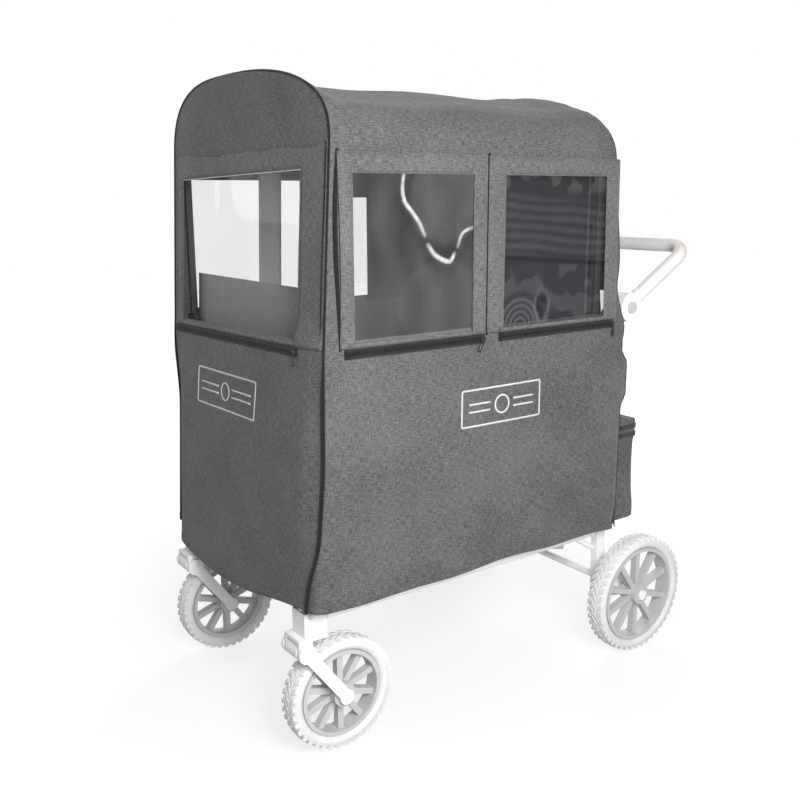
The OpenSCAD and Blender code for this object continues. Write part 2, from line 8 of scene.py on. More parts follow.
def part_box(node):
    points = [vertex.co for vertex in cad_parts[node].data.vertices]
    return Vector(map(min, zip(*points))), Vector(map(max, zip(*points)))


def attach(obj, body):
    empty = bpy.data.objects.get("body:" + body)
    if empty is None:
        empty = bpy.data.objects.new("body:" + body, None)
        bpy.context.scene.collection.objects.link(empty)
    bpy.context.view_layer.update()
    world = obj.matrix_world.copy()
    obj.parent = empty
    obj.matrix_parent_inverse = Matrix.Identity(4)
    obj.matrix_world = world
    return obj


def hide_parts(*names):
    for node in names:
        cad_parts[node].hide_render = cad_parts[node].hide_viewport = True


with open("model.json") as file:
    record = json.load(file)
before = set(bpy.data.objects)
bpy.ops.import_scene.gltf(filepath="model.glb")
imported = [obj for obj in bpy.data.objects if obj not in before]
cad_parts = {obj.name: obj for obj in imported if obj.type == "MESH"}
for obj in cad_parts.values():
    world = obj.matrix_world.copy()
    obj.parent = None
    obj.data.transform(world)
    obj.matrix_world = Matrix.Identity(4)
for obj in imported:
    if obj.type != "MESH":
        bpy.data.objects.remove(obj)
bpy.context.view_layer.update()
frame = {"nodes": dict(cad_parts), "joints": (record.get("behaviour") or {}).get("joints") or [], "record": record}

# Looks of a four-seat stroller wagon under a full weather cover.
# Cabin coordinates: x from the middle of the cover, y across, z up, in metres.

JOINTS = {j["name"]: j for j in frame["joints"]}
CABIN_X = JOINTS["rear_wheel_spin_near"]["pos_m"][0] - 0.517
SIDES = (("near", -1), ("far", 1))

HALF = 0.351  # half width of the cover's cloth
EAVE = 1.265  # where the side wall turns into the roof
ZIP = 0.884  # top of the skirt, where the window zips run
HEM = 0.349
FLAP_TOP = 1.252
ROOF_RISE = 0.161
CROWN = 0.086  # how far the front arch's crown leans to the far side
CLOTH = 0.0014
FILM = 0.0005
FLAP_FOOT = ZIP + 0.0012  # lower edge of the window flaps
FLAP_BOW = 0.0045  # how far the front side flaps' cloth pulls back from its zip
THREAD_LIFT = 0.0011
FRONT_LEAN = math.tan(math.radians(3.245))
REAR_LEAN = math.tan(math.radians(6.88))


def cabin(x, y, z):
    """A point given in cabin coordinates, in the row frame."""
    return Vector((x + CABIN_X, y, z))


def smooth(t):
    t = min(1.0, max(0.0, t))
    return t * t * (3 - 2 * t)


def bell(v, middle, width):
    return math.exp(-(((v - middle) / width) ** 2))


def ripple(x, y, z=0.0):
    return noise.noise(Vector((x, y, z)))


def span(a, b, n):
    """n + 1 even steps from a to b."""
    return [a + (b - a) * i / n for i in range(n + 1)]


def knots(edges, step):
    """Even steps of about step that hit every value in edges."""
    out = [edges[0]]
    for a, b in zip(edges, edges[1:]):
        out += span(a, b, max(1, round((b - a) / step)))[1:]
    return out


def middle(values, i):
    return (values[i] + values[i + 1]) / 2


# ---------------------------------------------------------------- materials


def new_material(name):
    mat = bpy.data.materials.new(name)
    mat.use_nodes = True
    tree = mat.node_tree
    tree.nodes.clear()
    return mat, tree


def put(tree, kind, inputs=None, **props):
    """Adds a node; inputs maps socket names or numbers to values or to sockets."""
    n = tree.nodes.new("ShaderNode" + kind)
    for k, v in props.items():
        setattr(n, k, v)
    for k, v in (inputs or {}).items():
        if isinstance(v, bpy.types.NodeSocket):
            tree.links.new(v, n.inputs[k])
        else:
            n.inputs[k].default_value = v
    return n


def calc(tree, operation, a, b=0.0, c=None):
    inputs = {0: a, 1: b}
    if c is not None:
        inputs[2] = c
    return put(tree, "Math", inputs, operation=operation).outputs[0]


def grain(tree, coords, scale, stretch=(1, 1, 1), detail=2.0, rough=0.5):
    """Noise from 0 to 1, stretched along the axes."""
    moved = put(tree, "Mapping", {"Vector": coords, "Scale": stretch}).outputs[0]
    return put(
        tree, "TexNoise", {"Vector": moved, "Scale": scale, "Detail": detail, "Roughness": rough}
    ).outputs[0]


def stretch_range(tree, value, low, high, to_low, to_high):
    return put(tree, "MapRange", {0: value, 1: low, 2: high, 3: to_low, 4: to_high}).outputs[0]


def blend_colours(tree, factor, dark, light):
    mix = put(tree, "Mix", data_type="RGBA")
    tree.links.new(factor, mix.inputs[0])
    for socket, value in ((mix.inputs[6], dark), (mix.inputs[7], light)):
        if isinstance(value, bpy.types.NodeSocket):
            tree.links.new(value, socket)
        else:
            socket.default_value = (*value, 1.0)
    return mix.outputs[2]


def finish_material(tree, shader):
    tree.links.new(shader, put(tree, "OutputMaterial").inputs[0])


def bumped(tree, strength, distance, height):
    return put(tree, "Bump", {"Strength": strength, "Distance": distance, "Height": height}).outputs[0]


def principled(tree, colour, rough, normal, more):
    """Ends a material with a Principled shader; more holds its other sockets."""
    sockets = {"Base Color": colour, "Roughness": rough, "Normal": normal}
    sockets.update(more)
    finish_material(tree, put(tree, "BsdfPrincipled", sockets).outputs[0])


def woven(name, dark, light, pitch=0.0018, sheen=0.15, on_uv=True, depth=0.0004, mottle=0.16):
    """Plain weave of heathered yarn: crossing threads, slubs, soft mottling and a little fading."""
    mat, t = new_material(name)
    source = put(t, "TexCoord")
    coords = source.outputs["UV" if on_uv else "Object"]
    axes = put(t, "SeparateXYZ", {0: coords}).outputs
    across = axes[0] if on_uv else calc(t, "ADD", axes[0], axes[1])
    along = axes[1] if on_uv else axes[2]
    warp = calc(t, "SINE", calc(t, "MULTIPLY", across, 2 * math.pi / pitch))
    weft = calc(t, "SINE", calc(t, "MULTIPLY", along, 2 * math.pi / pitch))
    threads = calc(t, "MULTIPLY", warp, weft)
    slub_h = grain(t, coords, 1.0, (70, 620, 300), 2.0, 0.6)
    slub_v = grain(t, coords, 1.0, (620, 70, 300), 2.0, 0.6)
    fibre = grain(t, coords, 900, (1, 1, 1), 1.0)
    yarn = calc(
        t, "ADD",
        calc(t, "MULTIPLY", slub_h, 0.42),
        calc(t, "ADD", calc(t, "MULTIPLY", slub_v, 0.33), calc(t, "MULTIPLY", fibre, 0.25)),
    )
    patch = grain(t, source.outputs["Object"], 7.0, (1, 1, 1), 4.0, 0.55)
    tone = calc(
        t, "ADD",
        stretch_range(t, yarn, 0.42, 0.58, 0.0, 1.0),
        calc(t, "ADD",
             stretch_range(t, patch, 0.3, 0.7, -mottle, mottle),
             calc(t, "MULTIPLY", threads, 0.07)),
    )
    colour = blend_colours(t, tone, dark, light)
    height = calc(
        t, "ADD",
        calc(t, "MULTIPLY", threads, 0.5),
        calc(t, "ADD", calc(t, "MULTIPLY", yarn, 1.6), calc(t, "MULTIPLY", patch, 3.0)),
    )
    rough = stretch_range(t, yarn, 0.3, 0.7, 0.95, 0.78)
    principled(t, colour, rough, bumped(t, 0.55, depth, height), {
        "Sheen Weight": sheen, "Sheen Roughness": 0.5, "Specular IOR Level": 0.25,
    })
    return mat


def webbing(name, dark, light):
    """Ribbed narrow webbing."""
    mat, t = new_material(name)
    uv = put(t, "TexCoord").outputs["UV"]
    axes = put(t, "SeparateXYZ", {0: uv}).outputs
    pitch = 0.0022
    ribs = calc(t, "SINE", calc(t, "MULTIPLY", axes[1], 2 * math.pi / pitch))
    cross = calc(t, "SINE", calc(t, "MULTIPLY", axes[0], 2 * math.pi / (pitch * 1.6)))
    fuzz = grain(t, uv, 800)
    height = calc(t, "ADD", ribs, calc(t, "ADD", calc(t, "MULTIPLY", cross, 0.4), fuzz))
    tone = stretch_range(t, calc(t, "ADD", fuzz, calc(t, "MULTIPLY", ribs, 0.12)), 0.25, 0.75, 0.0, 1.0)
    rough = stretch_range(t, fuzz, 0.3, 0.7, 0.6, 0.85)
    colour = blend_colours(t, tone, dark, light)
    principled(t, colour, rough, bumped(t, 0.6, 0.0005, height), {"Sheen Weight": 0.1})
    return mat


def moulded(name, dark, light, rough=(0.42, 0.58), size=900, depth=0.00015, coat=0.0):
    """Moulded plastic or paint: fine texture, dust in patches, small scuffs."""
    mat, t = new_material(name)
    coords = put(t, "TexCoord").outputs["Object"]
    fine = grain(t, coords, size, (1, 1, 1), 2.0)
    dust = grain(t, coords, 9.0, (1, 1, 1), 5.0, 0.6)
    scuff = grain(t, coords, 60.0, (1, 1, 5), 3.0, 0.7)
    tone = calc(t, "ADD", stretch_range(t, dust, 0.3, 0.7, 0.1, 0.9),
                stretch_range(t, scuff, 0.62, 0.72, 0.0, 0.25))
    height = calc(t, "ADD", fine, calc(t, "MULTIPLY", scuff, 0.5))
    roughness = calc(t, "ADD", stretch_range(t, dust, 0.3, 0.7, *rough),
                     stretch_range(t, fine, 0.3, 0.7, -0.04, 0.04))
    colour = blend_colours(t, tone, dark, light)
    principled(t, colour, roughness, bumped(t, 0.35, depth, height), {
        "Coat Weight": coat, "Coat Roughness": 0.25,
    })
    return mat


def metal(name, dark, light, rough=(0.3, 0.45)):
    """Plated steel with fine turning marks."""
    mat, t = new_material(name)
    coords = put(t, "TexCoord").outputs["Object"]
    marks = grain(t, coords, 1.0, (900, 40, 900), 2.0)
    cloud = grain(t, coords, 40.0, (1, 1, 1), 3.0)
    roughness = stretch_range(t, marks, 0.3, 0.7, *rough)
    colour = blend_colours(t, cloud, dark, light)
    principled(t, colour, roughness, bumped(t, 0.2, 0.0001, marks), {"Metallic": 0.9})
    return mat


def leather(name, dark, light):
    """Fine leather: cells, creases and a slight polish where hands hold it."""
    mat, t = new_material(name)
    coords = put(t, "TexCoord").outputs["Object"]
    cells = put(t, "TexVoronoi", {"Vector": coords, "Scale": 420.0}, feature="DISTANCE_TO_EDGE").outputs[0]
    pore = grain(t, coords, 900)
    hand = grain(t, coords, 14.0, (1, 1, 1), 4.0, 0.6)
    height = calc(t, "ADD", stretch_range(t, cells, 0.0, 0.25, 0.0, 1.0), calc(t, "MULTIPLY", pore, 0.4))
    tone = calc(t, "ADD", calc(t, "MULTIPLY", hand, 0.7), stretch_range(t, cells, 0.0, 0.15, 0.0, 0.3))
    rough = stretch_range(t, hand, 0.3, 0.7, 0.42, 0.62)
    colour = blend_colours(t, tone, dark, light)
    principled(t, colour, rough, bumped(t, 0.5, 0.0003, height), {"Specular IOR Level": 0.4})
    return mat


def rubber(name, dark, light):
    """Dull rubber, dusty in patches."""
    mat, t = new_material(name)
    coords = put(t, "TexCoord").outputs["Object"]
    fine = grain(t, coords, 700)
    dust = grain(t, coords, 16.0, (1, 1, 1), 5.0, 0.65)
    height = calc(t, "ADD", fine, calc(t, "MULTIPLY", dust, 1.5))
    rough = stretch_range(t, dust, 0.3, 0.7, 0.62, 0.85)
    colour = blend_colours(t, stretch_range(t, dust, 0.3, 0.7, 0.0, 1.0), dark, light)
    principled(t, colour, rough, bumped(t, 0.4, 0.0003, height), {"Specular IOR Level": 0.3})
    return mat


def clear_film(name, tint, haze, gloss=1.25):
    """Thin clear film: light passes straight through, it mirrors at an angle and has a little haze; a point
    attribute adds painted glare to its grey diffuse layer.
    """
    mat, t = new_material(name)
    coords = put(t, "TexCoord").outputs["Object"]
    smear = grain(t, coords, 11.0, (1, 1, 0.5), 4.0, 0.6)
    dimple = grain(t, coords, 30.0, (1, 1, 1), 0.0)
    bump = bumped(t, 0.1 * gloss, 0.0006, dimple)
    through = put(t, "BsdfTransparent", {"Color": (*tint, 1.0)})
    mirror = put(t, "BsdfGlossy", {
        "Color": (0.72, 0.73, 0.74, 1.0),
        "Roughness": stretch_range(t, smear, 0.3, 0.7, 0.03, 0.09),
        "Normal": bump,
    })
    facing = put(t, "LayerWeight", {"Blend": 0.5, "Normal": bump}).outputs["Facing"]
    rim = calc(t, "MULTIPLY", calc(t, "POWER", facing, 5.0), 0.95)
    share = calc(t, "MULTIPLY", calc(t, "ADD", rim, 0.04), gloss)
    pane = put(t, "MixShader", {0: share, 1: through.outputs[0], 2: mirror.outputs[0]})
    haze_and_glare = put(t, "BsdfDiffuse", {"Color": (0.56, 0.565, 0.58, 1.0), "Normal": bump})
    # Painted glare: this attribute raises the grey diffuse layer where highlights and reflections are painted and
    # lowers it in painted darker bands.
    folds = put(t, "Attribute", attribute_name="painted_glare").outputs["Fac"]
    veil = calc(t, "ADD", stretch_range(t, smear, 0.3, 0.75, haze * 0.6, haze * 1.4), folds)
    veil = put(t, "Clamp", {0: veil}).outputs[0]
    film = put(t, "MixShader", {0: veil, 1: pane.outputs[0], 2: haze_and_glare.outputs[0]})
    finish_material(t, film.outputs[0])
    return mat


def plain_floor(name, colour, glow, bounce):
    """The pale floor: it looks lit to the camera, and gives back less light to the object. Its glow to the camera
    is weaker near the middle, a painted soft shadow round the object.
    """
    mat, t = new_material(name)
    coords = put(t, "TexCoord").outputs["Object"]
    soft = grain(t, coords, 1.5, (1, 1, 1), 2.0)
    pale = tuple(c * 0.985 for c in colour)
    shader = put(t, "BsdfPrincipled", {
        "Base Color": blend_colours(t, soft, pale, colour),
        "Roughness": 0.75,
        "Specular IOR Level": 0.1,
    })
    far = put(t, "VectorMath", {0: coords}, operation="LENGTH").outputs["Value"]
    # Painted shadow: the camera's glow fades from full far away down to glow near the middle.
    bright = stretch_range(t, far, 0.7, 2.2, glow, 1.0)
    seen = put(t, "LightPath").outputs["Is Camera Ray"]
    strength = calc(t, "ADD", calc(t, "MULTIPLY", calc(t, "SUBTRACT", bright, bounce), seen), bounce)
    light = put(t, "Emission", {"Color": (1, 1, 1, 1), "Strength": strength})
    finish_material(t, put(t, "AddShader", {0: shader.outputs[0], 1: light.outputs[0]}).outputs[0])
    return mat


M = {
    "cover_fabric": woven("cover_fabric", (0.046, 0.046, 0.047), (0.154, 0.154, 0.156)),
    "flap_fabric": woven("flap_fabric", (0.056, 0.056, 0.057), (0.184, 0.184, 0.186)),
    "cover_binding": woven("cover_binding", (0.027, 0.027, 0.028), (0.056, 0.056, 0.057)),
    # Near-black cloth for painted shadow: the gaps beside the flaps and the shade along the front seam.
    "painted_shadow_black": woven("painted_shadow_black", (0.004, 0.004, 0.004), (0.012, 0.012, 0.012)),
    "lining_fabric": woven("lining_fabric", (0.18, 0.182, 0.185), (0.27, 0.272, 0.275)),
    # A lighter copy of the lining for the far front curtain: painted backlight.
    "painted_backlight_lining": woven("painted_backlight_lining", (0.40, 0.402, 0.405), (0.56, 0.562, 0.565)),
    "inner_fabric": woven("inner_fabric", (0.056, 0.057, 0.059), (0.096, 0.097, 0.099)),
    "shade_mesh": woven("shade_mesh", (0.020, 0.021, 0.022), (0.044, 0.045, 0.047), pitch=0.003),
    "floor_board": woven("floor_board", (0.042, 0.042, 0.043), (0.071, 0.071, 0.072)),
    "seat_fabric": woven("seat_fabric", (0.046, 0.047, 0.048), (0.086, 0.087, 0.089), on_uv=False),
    "seat_piping": woven("seat_piping", (0.024, 0.024, 0.025), (0.048, 0.048, 0.049), on_uv=False),
    "webbing": webbing("webbing", (0.012, 0.012, 0.013), (0.028, 0.028, 0.029)),
    "black_plastic": moulded("black_plastic", (0.012, 0.012, 0.013), (0.028, 0.028, 0.029)),
    "canopy_metal": moulded("canopy_metal", (0.042, 0.042, 0.043), (0.066, 0.066, 0.067), (0.35, 0.5)),
    "frame_metal": moulded("frame_metal", (0.86, 0.86, 0.865), (0.93, 0.93, 0.935), (0.4, 0.55), 500),
    "frame_plastic": moulded("frame_plastic", (0.78, 0.78, 0.787), (0.86, 0.86, 0.867), (0.5, 0.65)),
    "button_plastic": moulded("button_plastic", (0.46, 0.46, 0.47), (0.56, 0.56, 0.57), (0.25, 0.35)),
    "rim_plastic": moulded("rim_plastic", (0.47, 0.47, 0.477), (0.55, 0.55, 0.557), (0.5, 0.65)),
    "tyre_rubber": rubber("tyre_rubber", (0.68, 0.68, 0.69), (0.78, 0.78, 0.79)),
    "grip_leather": leather("grip_leather", (0.78, 0.735, 0.70), (0.87, 0.83, 0.80)),
    "zip_tape": woven("zip_tape", (0.007, 0.007, 0.008), (0.019, 0.019, 0.020), pitch=0.0012),
    "zip_metal": moulded("zip_metal", (0.007, 0.007, 0.008), (0.020, 0.020, 0.021), (0.25, 0.4), coat=0.3),
    "badge_print": moulded("badge_print", (0.52, 0.52, 0.52), (0.64, 0.64, 0.64), (0.45, 0.6)),
    "thread": woven("thread", (0.060, 0.060, 0.061), (0.180, 0.180, 0.182), pitch=0.0006, on_uv=False),
    "fastener_steel": metal("fastener_steel", (0.62, 0.62, 0.63), (0.78, 0.78, 0.79)),
    "clear_film": clear_film("clear_film", (0.99, 0.991, 0.993), 0.034),
    "front_film": clear_film("front_film", (0.995, 0.995, 0.996), 0.002, 0.25),
    # A darker copy of the clear film: its dimmer tint and gloss paint shade onto the near rear pane.
    "shaded_film_copy": clear_film("shaded_film_copy", (0.80, 0.81, 0.825), 0.010, 0.8),
    "smoked_film": clear_film("smoked_film", (0.10, 0.10, 0.105), 0.01),
    # Light grey for the bead on the front pane's top edge: painted highlight of the film's folded edge.
    "painted_edge_highlight": moulded("painted_edge_highlight", (0.42, 0.42, 0.43), (0.54, 0.54, 0.55), (0.15, 0.25)),
}

for sub in frame["record"]["subparts"]:
    obj = frame["nodes"][sub["node"]]
    for slot in obj.material_slots:
        slot.material = M[sub["material_slot"]]

# ---------------------------------------------------------------- mesh helpers


def mesh_object(name, verts, faces, material, uvs=None, smooth_shade=True):
    """A mesh from points and faces, without loose points."""
    used = sorted({i for f in faces for i in f})
    index = {old: new for new, old in enumerate(used)}
    mesh = bpy.data.meshes.new(name)
    mesh.from_pydata([verts[i] for i in used], [], [[index[i] for i in f] for f in faces])
    if uvs is not None:
        layer = mesh.uv_layers.new(name="cloth")
        kept = [uvs[i] for i in used]
        for loop in mesh.loops:
            layer.data[loop.index].uv = kept[loop.vertex_index]
    mesh.materials.append(M[material] if isinstance(material, str) else material)
    mesh.polygons.foreach_set("use_smooth", [smooth_shade] * len(mesh.polygons))
    mesh.update()
    obj = bpy.data.objects.new(name, mesh)
    bpy.context.scene.collection.objects.link(obj)
    return obj


def apply_modifiers(obj):
    """Applies obj's modifiers, so that its mesh is what shows."""
    graph = bpy.context.evaluated_depsgraph_get()
    mesh = bpy.data.meshes.new_from_object(obj.evaluated_get(graph))
    old = obj.data
    obj.modifiers.clear()
    obj.data = mesh
    bpy.data.meshes.remove(old)
    return obj


def thicken(obj, thickness):
    """Gives a sheet its thickness, half of it on each side."""
    mod = obj.modifiers.new("thickness", "SOLIDIFY")
    mod.thickness = thickness
    mod.offset = 0.0
    mod.use_even_offset = False
    return apply_modifiers(obj)


def grid(name, rows, material, skip=None, thickness=CLOTH, loop_u=False):
    """A sheet through rows of points; skip(row, column) leaves a cell out. UVs are metres of cloth."""
    n, m = len(rows), len(rows[0])
    verts = [p for row in rows for p in row]
    middle, mid_col = m // 2, [row[m // 2] for row in rows]
    v = [0.0]
    for a, b in zip(mid_col, mid_col[1:]):
        v.append(v[-1] + (b - a).length)
    uvs = []
    for i, row in enumerate(rows):
        run = [0.0]
        for a, b in zip(row, row[1:]):
            run.append(run[-1] + (b - a).length)
        uvs += [(u - run[middle], v[i]) for u in run]
    faces = []
    for i in range(n - 1):
        for j in range(m if loop_u else m - 1):
            if skip and skip(i, j):
                continue
            k = (j + 1) % m
            faces.append((i * m + j, i * m + k, (i + 1) * m + k, (i + 1) * m + j))
    obj = mesh_object(name, verts, faces, material, uvs)
    return thicken(obj, thickness) if thickness else obj


def frames_along(points, closed=False):
    """Tangent and side directions along a line, turning as little as possible."""
    n = len(points)
    out, side = [], None
    for i, p in enumerate(points):
        a = points[i - 1] if i or closed else p
        b = points[(i + 1) % n] if i < n - 1 or closed else p
        along = (b - a).normalized()
        if side is None:
            side = along.orthogonal().normalized()
        side = (side - along * side.dot(along)).normalized()
        out.append((along, side, along.cross(side)))
    return out


def sweep(name, points, section, material, closed=False, side=None, ends=True):
    """A solid along a line. section(i) gives the (side, up) offsets of its outline at point i."""
    rows, axes = [], frames_along(points, closed)
    for i, p in enumerate(points):
        along, s, u = axes[i]
        if side is not None:
            s = side(i) if callable(side) else side
            s = (s - along * s.dot(along)).normalized()
            u = along.cross(s)
        rows.append([p + s * a + u * b for a, b in section(i)])
    m, n = len(rows[0]), len(rows)
    verts = [q for row in rows for q in row]
    faces, uvs, run = [], [], 0.0
    for i in range(n):
        if i:
            run += (points[i] - points[i - 1]).length
        around = 0.0
        for j in range(m):
            if j:
                around += (rows[i][j] - rows[i][j - 1]).length
            uvs.append((around, run))
    for i in range(n if closed else n - 1):
        k = (i + 1) % n
        for j in range(m):
            l = (j + 1) % m
            faces.append((i * m + j, k * m + j, k * m + l, i * m + l))
    if ends and not closed:
        faces.append(tuple(range(m)))
        faces.append(tuple((n - 1) * m + j for j in reversed(range(m))))
    return mesh_object(name, verts, faces, material, uvs)


def ring(radius, sides=10, squash=1.0):
    return [
        (radius * math.cos(2 * math.pi * k / sides), radius * squash * math.sin(2 * math.pi * k / sides))
        for k in range(sides)
    ]


def cord_of(name, points, radius, material, closed=False, sides=8):
    return sweep(name, points, lambda i: ring(radius, sides), material, closed)


def ribbon(name, points, width, thickness, across, material):
    """A flat strap with rounded edges along a line; across is the direction of its width."""
    w, t = width / 2, thickness / 2
    outline = [(-w, 0), (-w * 0.96, t), (-w / 2, t * 1.1), (0, t * 1.2), (w / 2, t * 1.1), (w * 0.96, t),
               (w, 0), (w * 0.96, -t), (0, -t), (-w * 0.96, -t)]
    return sweep(name, points, lambda i: outline, material, side=across)


def turned(name, outline, centre, material, steps=96):
    """A solid of revolution about an axis along Y; outline is (radius, offset along Y), closed."""
    rows = []
    for k in range(steps):
        a = 2 * math.pi * k / steps
        rows.append([centre + Vector((r * math.cos(a), y, r * math.sin(a))) for r, y in outline])
    m = len(outline)
    verts = [p for row in rows for p in row]
    faces = []
    for i in range(steps):
        k = (i + 1) % steps
        for j in range(m):
            l = (j + 1) % m
            faces.append((i * m + j, i * m + l, k * m + l, k * m + j))
    return mesh_object(name, verts, faces, material)


def box_faces(b):
    """The six faces of a box whose eight corners start at index b."""
    return [(b, b + 1, b + 3, b + 2), (b + 4, b + 6, b + 7, b + 5), (b, b + 4, b + 5, b + 1),
            (b + 2, b + 3, b + 7, b + 6), (b, b + 2, b + 6, b + 4), (b + 1, b + 5, b + 7, b + 3)]


def rounded_block(name, low, high, radius, material, bulge=0.0, segments=3):
    """A block with rounded edges, slightly crowned when bulge is above zero."""
    low, high = Vector(low), Vector(high)
    verts = [
        Vector((low.x if i & 1 else high.x, low.y if i & 2 else high.y, low.z if i & 4 else high.z))
        for i in range(8)
    ]
    obj = mesh_object(name, verts, box_faces(0), material)
    bevel = obj.modifiers.new("edges", "BEVEL")
    bevel.width = radius
    bevel.segments = segments
    bevel.limit_method = "NONE"
    if bulge:
        sub = obj.modifiers.new("skin", "SUBSURF")
        sub.levels = 2
        sub.subdivision_type = "SIMPLE"
    apply_modifiers(obj)
    if bulge:
        middle, half = (low + high) / 2, (high - low) / 2
        for v in obj.data.vertices:
            t = [(v.co[k] - middle[k]) / half[k] for k in range(3)]
            for k in range(3):
                a, b = (k + 1) % 3, (k + 2) % 3
                v.co[k] += t[k] * bulge * (1 - t[a] ** 2) * (1 - t[b] ** 2)
    return obj


def join(name, objs):
    """One object from several with the same material order kept."""
    bpy.ops.object.select_all(action="DESELECT")
    for o in objs:
        o.select_set(True)
    bpy.context.view_layer.objects.active = objs[0]
    bpy.ops.object.join()
    objs[0].name = name
    objs[0].data.name = name
    return objs[0]


def piece(obj, body, slot, *nodes):
    """Sets what obj rides on and the CAD nodes it stands for; slot, the finish it takes, is not used."""
    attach(obj, body)
    if nodes:
        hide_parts(*nodes)
    return obj


STITCHES = {}


def stitch(body, points, normals, pitch=0.0052, length=0.0036, radius=0.00045):
    """Adds a row of thread stitches along a line, lying on a surface with these normals."""
    rows = STITCHES.setdefault(body, [])
    run, due = 0.0, pitch / 2
    for i in range(len(points) - 1):
        a, b = points[i], points[i + 1]
        step = (b - a).length
        while step > 1e-9 and due <= run + step:
            t = (due - run) / step
            rows.append((a.lerp(b, t), (b - a) / step, normals[i], length, radius))
            due += pitch
        run += step


def make_stitches():
    """One mesh of small thread grains for each body."""
    for body, rows in STITCHES.items():
        verts, faces = [], []
        for at, along, normal, length, radius in rows:
            side = along.cross(normal).normalized()
            k = len(verts)
            verts += [at - along * length / 2 - normal * radius, at + along * length / 2 - normal * radius]
            verts += [at + side * radius, at + normal * radius, at - side * radius, at - normal * radius]
            for j in range(4):
                a, b = k + 2 + j, k + 2 + (j + 1) % 4
                faces += [(k, b, a), (k + 1, a, b)]
        piece(mesh_object("stitching_" + body, verts, faces, "thread"), body, "cover_fabric")


# ---------------------------------------------------------------- shape of the cover


def front_x(z):
    return -0.414 + (z - ZIP) * FRONT_LEAN


def front_face(y, z):
    """The front wall's plane, with both corners drawn back where the cloth pulls round them."""
    near = 0.009 + 0.006 * bell(z, 0.64, 0.12) - 0.009 * smooth((0.52 - z) / 0.12)
    far = 0.015 * smooth((ZIP - 0.03 - z) / 0.2)
    past_leg = smooth((abs(y) - 0.306) / 0.042)
    drawn = smooth((abs(y) - 0.02) / 0.33)
    drawn += (past_leg - drawn) * smooth((ZIP + 0.065 - z) / 0.05)
    return front_x(z) + (near if y < 0 else far) * drawn


def seam_in(z):
    """How far the near front seam wanders onto the front, low down."""
    return 0.024 * smooth((0.50 - z) / 0.14)


def rear_x(z):
    """Rear edge of the side walls: leaning above the zips, slack and wavy below."""
    upper = 0.430 - (z - ZIP) * REAR_LEAN - 0.013 * bell(z, 0.955, 0.045)
    lower = 0.4400 + 0.016 * smooth((z - 0.66) / 0.035) * smooth((0.80 - z) / 0.03)
    lower -= 0.006 * bell(z, 0.818, 0.02) + 0.010 * smooth((0.42 - z) / 0.07)
    return upper + (lower - upper) * smooth((ZIP + 0.02 - z) / 0.05)


def roof_top(x):
    """Height of the ridge: over the front arch, sagging between the bows, up again over the rear bow."""
    slack = 0.024 * smooth((x + 0.372) / 0.055)
    slack += 0.006 * math.sin(math.pi * smooth((x + 0.32) / 0.31))
    slack += 0.006 * math.sin(math.pi * smooth(x / 0.34))
    slack -= 0.006 * smooth((x - 0.24) / 0.09)
    return EAVE + ROOF_RISE - slack


def roof_edge_drop(x, top):
    """How far the ridge has come down where the roof rounds over its rear end."""
    t = max(0.0, (x - 0.352) / 0.033)
    low = EAVE + 0.050
    return (top - low) * (1 - math.sqrt(max(0.0, 1 - min(1.0, t) ** 2.2)))


def side_hem(x):
    """Height of a side wall's hem."""
    return HEM + 0.0035 * math.sin(9.0 * x + 0.6) + 0.002 * math.sin(23 * x)


def front_hem(y):
    """Height of the front wall's hem, which hangs lowest off centre."""
    t = math.cos(math.radians(90 * (y - 0.12) / 0.4725))
    return HEM + 0.002 - 0.062 * t * t + 0.0025 * math.sin(14 * y)


def side_wave(x, z, side):
    """How far the side wall stands out of its flat plane: slack folds below, almost flat at the windows."""
    seed = 3.1 if side < 0 else 8.7
    low = smooth((ZIP - 0.02 - z) / 0.25)
    pull = 0.0036 * ripple(x * 2.6, z * 5.0, seed) + 0.0018 * ripple(x * 7 + z * 3, z * 7, seed + 2)
    crease = 0.0022 * bell(z + 0.35 * x, 0.60, 0.028) - 0.0020 * bell(z - 0.22 * x, 0.50, 0.020)
    belly = 0.0035 * math.sin(math.pi * smooth((z - HEM) / (ZIP - HEM)))
    return low * (pull + crease) + belly * low + 0.0006 * ripple(x * 20, z * 20, seed)


def side_point(x, z, side):
    corner = front_face(side * HALF, z)
    edge = min(x - corner, rear_x(z) - x)
    fade = smooth(edge / 0.05)
    wrap = max(0.0, 1 - (x - corner) / 0.03)
    turn = seam_in(z) * wrap * wrap if side < 0 else 0.0
    y = HALF + side_wave(x, z, side) * fade - turn
    return cabin(x, side * y, z)


def column_x(ref, z, y):
    """Grid columns are straight between the windows and follow the leaning ends beyond them."""
    inner_front, inner_rear = -0.372, 0.376 - 0.10 * smooth((z - 1.242) / 0.04)
    if ref < inner_front:
        t = (inner_front - ref) / (inner_front + 0.414)
        return inner_front + (front_face(y, z) - inner_front) * t
    if ref > inner_rear:
        t = (ref - inner_rear) / (0.430 - inner_rear)
        return inner_rear + (rear_x(z) - inner_rear) * t
    return ref


ARCH_NEAR, ARCH_FAR = 2.54, 2.79  # powers of the superellipse on each side of the crown


